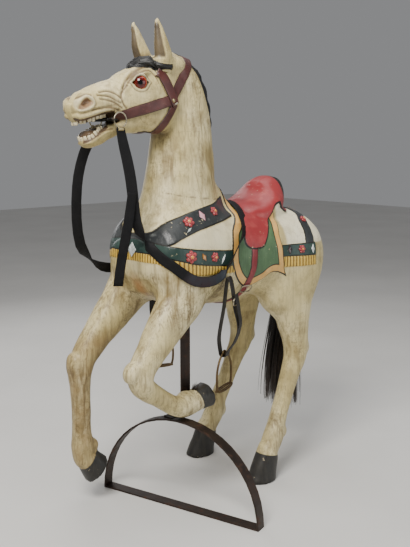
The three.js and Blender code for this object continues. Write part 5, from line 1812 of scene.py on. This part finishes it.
def gem(name, f, l, z, wide, tall, mat, rep=None, turn=0.0, lift=.0006, thick=.0036, at=None, no=None):
    if at is None:
        at, no = onto(row1(f, l, z))
    up = Vector((0, 0, 1))
    ac = up.cross(no).normalized()
    up = no.cross(ac).normalized()
    ca, sa = math.cos(turn), math.sin(turn)
    ac, up = ac * ca + up * sa, up * ca - ac * sa
    corner = [(1, 0), (.5, .5), (0, 1), (-.5, .5), (-1, 0), (-.5, -.5), (0, -1), (.5, -.5)]
    V, Fc = [], []
    for k, (sc, hh) in enumerate(((1.0, 0), (1.0, thick * .35), (.62, thick * .86), (.60, thick * .90), (.30, thick))):
        for x, y in corner:
            V.append(at + ac * x * wide / 2 * sc + up * y * tall / 2 * sc + no * (lift + hh))
    for i in range(4):
        for k in range(8):
            l2 = (k + 1) % 8
            Fc.append((i * 8 + k, i * 8 + l2, (i + 1) * 8 + l2, (i + 1) * 8 + k))
    Fc.append(tuple(4 * 8 + k for k in range(8)))
    Fc.append(tuple(reversed(range(8))))
    return mesh_piece(name, V, Fc, mat, smooth=False, rep=rep)


pink = glassy("jewel_pink", "#C77E8E", "#E6B2BA", .10)
mirror_mat = glassy("jewel_mirror", "#A9B3AE", "#E4EAE6", .05)
dark_gem = glassy("jewel_dark", "#3A1418", "#16090B", .08)
amber = glassy("jewel_amber", "#B9813A", "#7A4A22", .10)
for s, tag in ((1, "left"), (-1, "right")):
    flower("flower_collar_front_" + tag, .297, .123 * s, .852, .036, 6, .3)
    flower("flower_collar_rear_" + tag, .189, .103 * s, .872, .031, 6, .1)
    flower("flower_breast_front_" + tag, .321, .161 * s, .762, .038, 6, .5)
    flower("flower_breast_rear_" + tag, .233, .162 * s, .753, .030, 6, .2)
    flower("flower_rump_" + tag, -.150, .155 * s, .738, .028, 6, .0)
    flower("flower_crupper_" + tag, -.200, .115 * s, .818, .024, 6, .4)
    gem("jewel_collar_" + tag + "_cut", .243, .111 * s, .861, .021, .034, pink, ["jewel_collar_" + tag], turn=.25 * s)
    gem("jewel_rump_" + tag + "_cut", -.196, .150 * s, .735, .017, .030, mirror_mat, ["jewel_rump_" + tag])
    gem("jewel_rump_dark_" + tag, -.098, .157 * s, .742, .019, .030, dark_gem)
    gem("jewel_breast_amber_" + tag, .276, .163 * s, .757, .014, .026, amber, turn=.5 * s)
    gem("jewel_breast_silver_" + tag, .196, .163 * s, .744, .008, .030, mirror_mat, turn=-.5 * s)
    gem("jewel_collar_silver_" + tag, .306, .130 * s, .826, .007, .026, mirror_mat, turn=-.9 * s)
gem("jewel_chest_mirror", .42, .021, .779, .036, .042, mirror_mat, ["jewel_chest"])

# ------------------------------------------------------------------ stirrups
strap_black = leather("stirrup_strap", "#0C0A0B", "#151213", "#3A2E2B", .50)
bronze = iron("stirrup_bronze", "#4E3E2C", "#74603F", "#5E3A22", .45, .85, .42, 2)
SF, SL, TURN = .178, .168, math.radians(22)
LOOP = [(4, 686), (12, 655), (20, 600), (31, 560), (32, 530), (19, 495), (-1, 466), (-6, 451.5), (-22, 451.5), (-27, 466),
        (-31, 500), (-26, 540), (-15, 600), (-9, 655), (-3, 686)]
ARCH = [(-18, 458), (18, 458), (38, 438), (51, 410), (52, 376), (48, 352), (-48, 352), (-52, 376), (-51, 410), (-38, 438)]
for s, tag in ((1, "left"), (-1, "right")):
    def place(u, w, z):
        # u across the loop's plane, w along the strap's width
        uf, ul = -math.sin(TURN), math.cos(TURN)
        wf, wl = math.cos(TURN), math.sin(TURN)
        return (SF + (uf * u + wf * w) / 1000, s * (SL + (ul * u + wl * w) / 1000), z / 1000)
    Lp = np.asarray(LOOP, float)
    Lp = Lp[::-1]
    ring2 = smooth_line([tuple(p) for p in Lp], 5, True)
    C = row([place(u, 0, z) for u, z in ring2])
    side = np.array([-math.cos(TURN), -s * math.sin(TURN), 0])
    strap_mesh("stirrup_leather_%s_strap" % tag, C, np.tile(side, (len(C), 1)), .026, .003, strap_black,
               rep=["stirrup_leather_" + tag], closed=True, wob=.02)
    # tail of the strap and its buckle, lying on the outer run
    T2 = smooth_line([(21, 640), (27, 612), (31, 585), (35, 560), (33, 540)], 6)
    C = row([place(u + 2.6, 0, z) for u, z in T2])
    strap_mesh("stirrup_leather_%s_tail" % tag, C, np.tile(side, (len(C), 1)), .022, .0026, strap_black)
    bk = [(-15, -9), (15, -9), (15, 9), (-15, 9)]
    bk = smooth_line(bk, 6, True)
    C = row([place(19.5 + .10 * b + 3.2, a, 618 + b) for a, b in bk])
    tube("stirrup_buckle_" + tag, C, .0019, steel, 8, True)
    # iron: drawn arch, broad tread with its bars
    a2 = []
    arch = [(-48, 354)] + [(-52, 376), (-51, 410), (-38, 438), (-18, 456), (0, 459.5), (18, 456), (38, 438), (51, 410), (52, 376)] + [(48, 354)]
    a2 = spline([tuple(map(float, p)) for p in arch], 7)
    sh = -.014

    def iron_at(u, w, z):
        wf, wl = math.cos(TURN), math.sin(TURN)
        f0 = SF - math.sin(TURN) * sh
        l0 = SL + math.cos(TURN) * sh
        return (f0 + (wf * u - wl * w) / 1000, s * (l0 + (wl * u + wf * w) / 1000), z / 1000)
    C = row([iron_at(u, 0, z) for u, z in a2])
    tt = np.linspace(0, 1, len(C))
    rad = .0030 + .0008 * np.abs(np.cos(np.pi * tt)) ** 3
    tube("stirrup_iron_%s_arch" % tag, C, rad, bronze, 12, rep=["stirrup_iron_" + tag], up=(0, 0, 1))
    for w in (-11.5, -4, 4, 11.5):
        edge = 1 if abs(w) > 8 else 0
        bow = [(-49, 352), (-30, 351), (0, 350.5), (30, 351), (49, 352)]
        B2 = spline(bow, 5)
        pinch = lambda u: w * (1 - .55 * (abs(u) / 49) ** 3)
        C = row([iron_at(u, pinch(u), z) for u, z in B2])
        tube("stirrup_tread_%s_%d" % (tag, int(w + 20)), C, .0029 if edge else .0022, bronze, 8)
    for u in (-46, 46):
        C = row([iron_at(u, w, 352) for w in np.linspace(-8, 8, 7)])
        tube("stirrup_tread_end_%s_%d" % (tag, u + 50), C, .0032, bronze, 8)
    C = row([iron_at(9.5 * math.cos(t), 0, 459.5 + 6.5 * math.sin(t)) for t in np.linspace(0, 2 * math.pi, 25)[:-1]])
    tube("stirrup_eye_" + tag, C, .0028, bronze, 8, True)

# ------------------------------------------------------------------ girth buckle
for s, tag in ((1, "left"), (-1, "right")):
    h, no = onto(row1(.084, .150 * s, .636))
    up = Vector((0, 0, 1))
    ac = up.cross(no).normalized()
    up = no.cross(ac).normalized()
    loop = smooth_line([(-.017, -.010), (.017, -.010), (.017, .010), (-.017, .010)], 6, True)
    tube("girth_buckle_" + tag, [(h + ac * a + up * b + no * .0042)[:] for a, b in loop], .0019, steel, 8, True)
    tube("girth_tongue_" + tag, [(h + ac * .001 + up * b + no * (.0052 + .001 * math.cos(b * 200)))[:] for b in np.linspace(-.011, .011, 7)], .0014,
         steel, 8)

# ------------------------------------------------------------------ horsehair
rng = np.random.default_rng(7)


def hair_material(name, c1, c2, c3):
    M = Mat(name)
    t = M.attr("tone")
    col = M.mix(t, c1, c2)
    col = M.mix(M.rng(M.attr("tip"), .70, 1.0, 0, .6), col, c3)
    col = M.mix(M.rng(M.noise(60, 3), .5, .7, 0, .4), col, c3)
    return M.done(col, M.rng(M.noise(80, 3), .3, .7, .34, .52), M.bump(M.noise(900, 2), .2, .0003), Specular_IOR_Level=.55)


def strands(name, paths, radii, mat, rep=None, sides=3):
    V, Fc, tn, tp = [], [], [], []
    for pth, r0 in zip(paths, radii):
        C = np.asarray(pth, float)
        n = len(C)
        T = np.gradient(C, axis=0)
        T /= np.maximum(np.linalg.norm(T, axis=1, keepdims=True), 1e-9)
        A = np.cross(T, (.31, .95, .05))
        A /= np.maximum(np.linalg.norm(A, axis=1, keepdims=True), 1e-9)
        B = np.cross(T, A)
        base = len(V)
        tone = rng.random()
        for i in range(n):
            u = i / (n - 1)
            r = r0 * (1 - .75 * u ** 3)
            for k in range(sides):
                a = 2 * math.pi * k / sides
                V.append(C[i] + A[i] * math.cos(a) * r + B[i] * math.sin(a) * r)
                tn.append(tone)
                tp.append(u)
        for i in range(n - 1):
            for k in range(sides):
                l2 = (k + 1) % sides
                Fc.append((base + i * sides + k, base + i * sides + l2, base + (i + 1) * sides + l2, base + (i + 1) * sides + k))
        Fc.append(tuple(reversed([base + k for k in range(sides)])))
        Fc.append(tuple(base + (n - 1) * sides + k for k in range(sides)))
    ob = mesh_piece(name, V, Fc, mat, rep=rep)
    for k, v in (("tone", tn), ("tip", tp)):
        at = ob.data.attributes.new(k, "FLOAT", "POINT")
        at.data.foreach_set("value", np.array(v, dtype=np.float32))
    return ob


TAIL = [(-.318, .800, 0, .022, .020, .022), (-.335, .770, -.002, .026, .024, .028), (-.343, .710, -.008, .032, .028, .038),
        (-.338, .620, -.018, .038, .032, .046), (-.322, .520, -.028, .042, .036, .052), (-.308, .420, -.034, .042, .038, .056),
        (-.296, .320, -.036, .046, .040, .060), (-.292, .240, -.034, .050, .040, .064), (-.290, .150, -.034, .050, .042, .064)]
TS = spline(TAIL, 6)
tail_mat = hair_material("horsehair_black", "#0C0A09", "#241B16", "#4A3A2E")
paths, radii = [], []
NS = 620
for i in range(NS):
    a = rng.random() * 2 * math.pi
    rr = math.sqrt(rng.random()) if i % 3 else .9 + .14 * rng.random()
    loose = 1.0 + (.28 * rng.random() if i % 7 == 0 else 0)
    wl = rng.random() * 6.28
    amp = .004 * rng.random() + (.008 * rng.random() if i % 5 == 0 else 0)
    stop = 1 - .22 * rng.random() ** 2
    spread = .9 + .2 * rng.random()
    pts = []
    for j in range(28):
        u = j / 27 * stop
        x = u * (len(TS) - 1)
        k = min(int(x), len(TS) - 2)
        st = TS[k] * (1 - (x - k)) + TS[k + 1] * (x - k)
        grow = 1 + (loose - 1) * u * 2
        df = math.cos(a) * rr * (st[3] if math.cos(a) > 0 else st[4]) * grow * spread
        dl = math.sin(a) * rr * st[5] * grow * spread
        w = amp * math.sin(wl + u * 9) * u
        pts.append((st[0] + df + w, st[2] + dl + w * .7, max(st[1], .01)))
    paths.append(row(pts))
    radii.append(.0011 + .0009 * rng.random())
strands("tail_hair", paths, radii, tail_mat, ["tail"])
# the dense middle of the tail, with its bound dock
ringsV, ringsF, tn, tp = [], [], [], []
nk = 40
for i, st in enumerate(TS[:-4]):
    u = i / (len(TS) - 5)
    for k in range(nk):
        a = 2 * math.pi * k / nk
        fl2 = 1 + .10 * math.sin(a * 9 + u * 3) + .06 * math.sin(a * 17 + 1 - u * 5)
        sq = .80 * fl2 * (1 - .45 * u ** 4)
        ringsV.append((st[0] + math.cos(a) * st[3] * sq, st[2] + math.sin(a) * st[5] * sq, st[1]))
        tn.append(.2)
        tp.append(u * .5)
m2 = len(TS) - 4
for i in range(m2 - 1):
    for k in range(nk):
        l2 = (k + 1) % nk
        ringsF.append((i * nk + k, (i + 1) * nk + k, (i + 1) * nk + l2, i * nk + l2))
ringsF.append(tuple(range(nk)))
ringsF.append(tuple(reversed([(m2 - 1) * nk + k for k in range(nk)])))
core = mesh_piece("tail_core", row(ringsV), ringsF, tail_mat)
bmy = bmesh.new()
bmy.from_mesh(core.data)
bmesh.ops.recalc_face_normals(bmy, faces=bmy.faces)
bmy.to_mesh(core.data)
bmy.free()
for k, v in (("tone", tn), ("tip", tp)):
    at = core.data.attributes.new(k, "FLOAT", "POINT")
    at.data.foreach_set("value", np.array(v, dtype=np.float32))


def tuft(name, f, l, z, n, length, spread, droop, mat, rad=.0007):
    at, no = onto(row1(f, l, z))
    q = no.to_track_quat("Z", "Y").to_matrix()
    ps, rs = [], []
    for i in range(n):
        a = rng.random() * 6.28
        r = math.sqrt(rng.random()) * spread
        d = (q @ Vector((math.cos(a) * .6 * rng.random(), math.sin(a) * .6 * rng.random(), 1))).normalized()
        p0 = at + q @ Vector((math.cos(a) * r, math.sin(a) * r, -.002))
        L = length * (.55 + .5 * rng.random())
        pts = []
        for j in range(8):
            u = j / 7
            pts.append((p0 + d * L * u + Vector(droop) * (u * u * L))[:])
        ps.append(pts)
        rs.append(rad)
    strands(name, ps, rs, mat)


brown_hair = hair_material("tuft_brown", "#5A3A24", "#8A6038", "#A98258")
tuft("rump_tuft", -.285, 0, .858, 70, .020, .012, (0, 0, -.2), brown_hair)
tuft("ergot_left_fore", .262, .112, .352, 40, .016, .008, (.5, 0, .2), tail_mat)

# ------------------------------------------------------------------ the iron stand
stand_mat = iron("stand_iron", "#2A211C", "#3B2F28", "#5A3A26", .42, .55, .48, 1.2)
so = bpy.data.objects["stand"]
so.data.materials.clear()
so.data.materials.append(stand_mat)
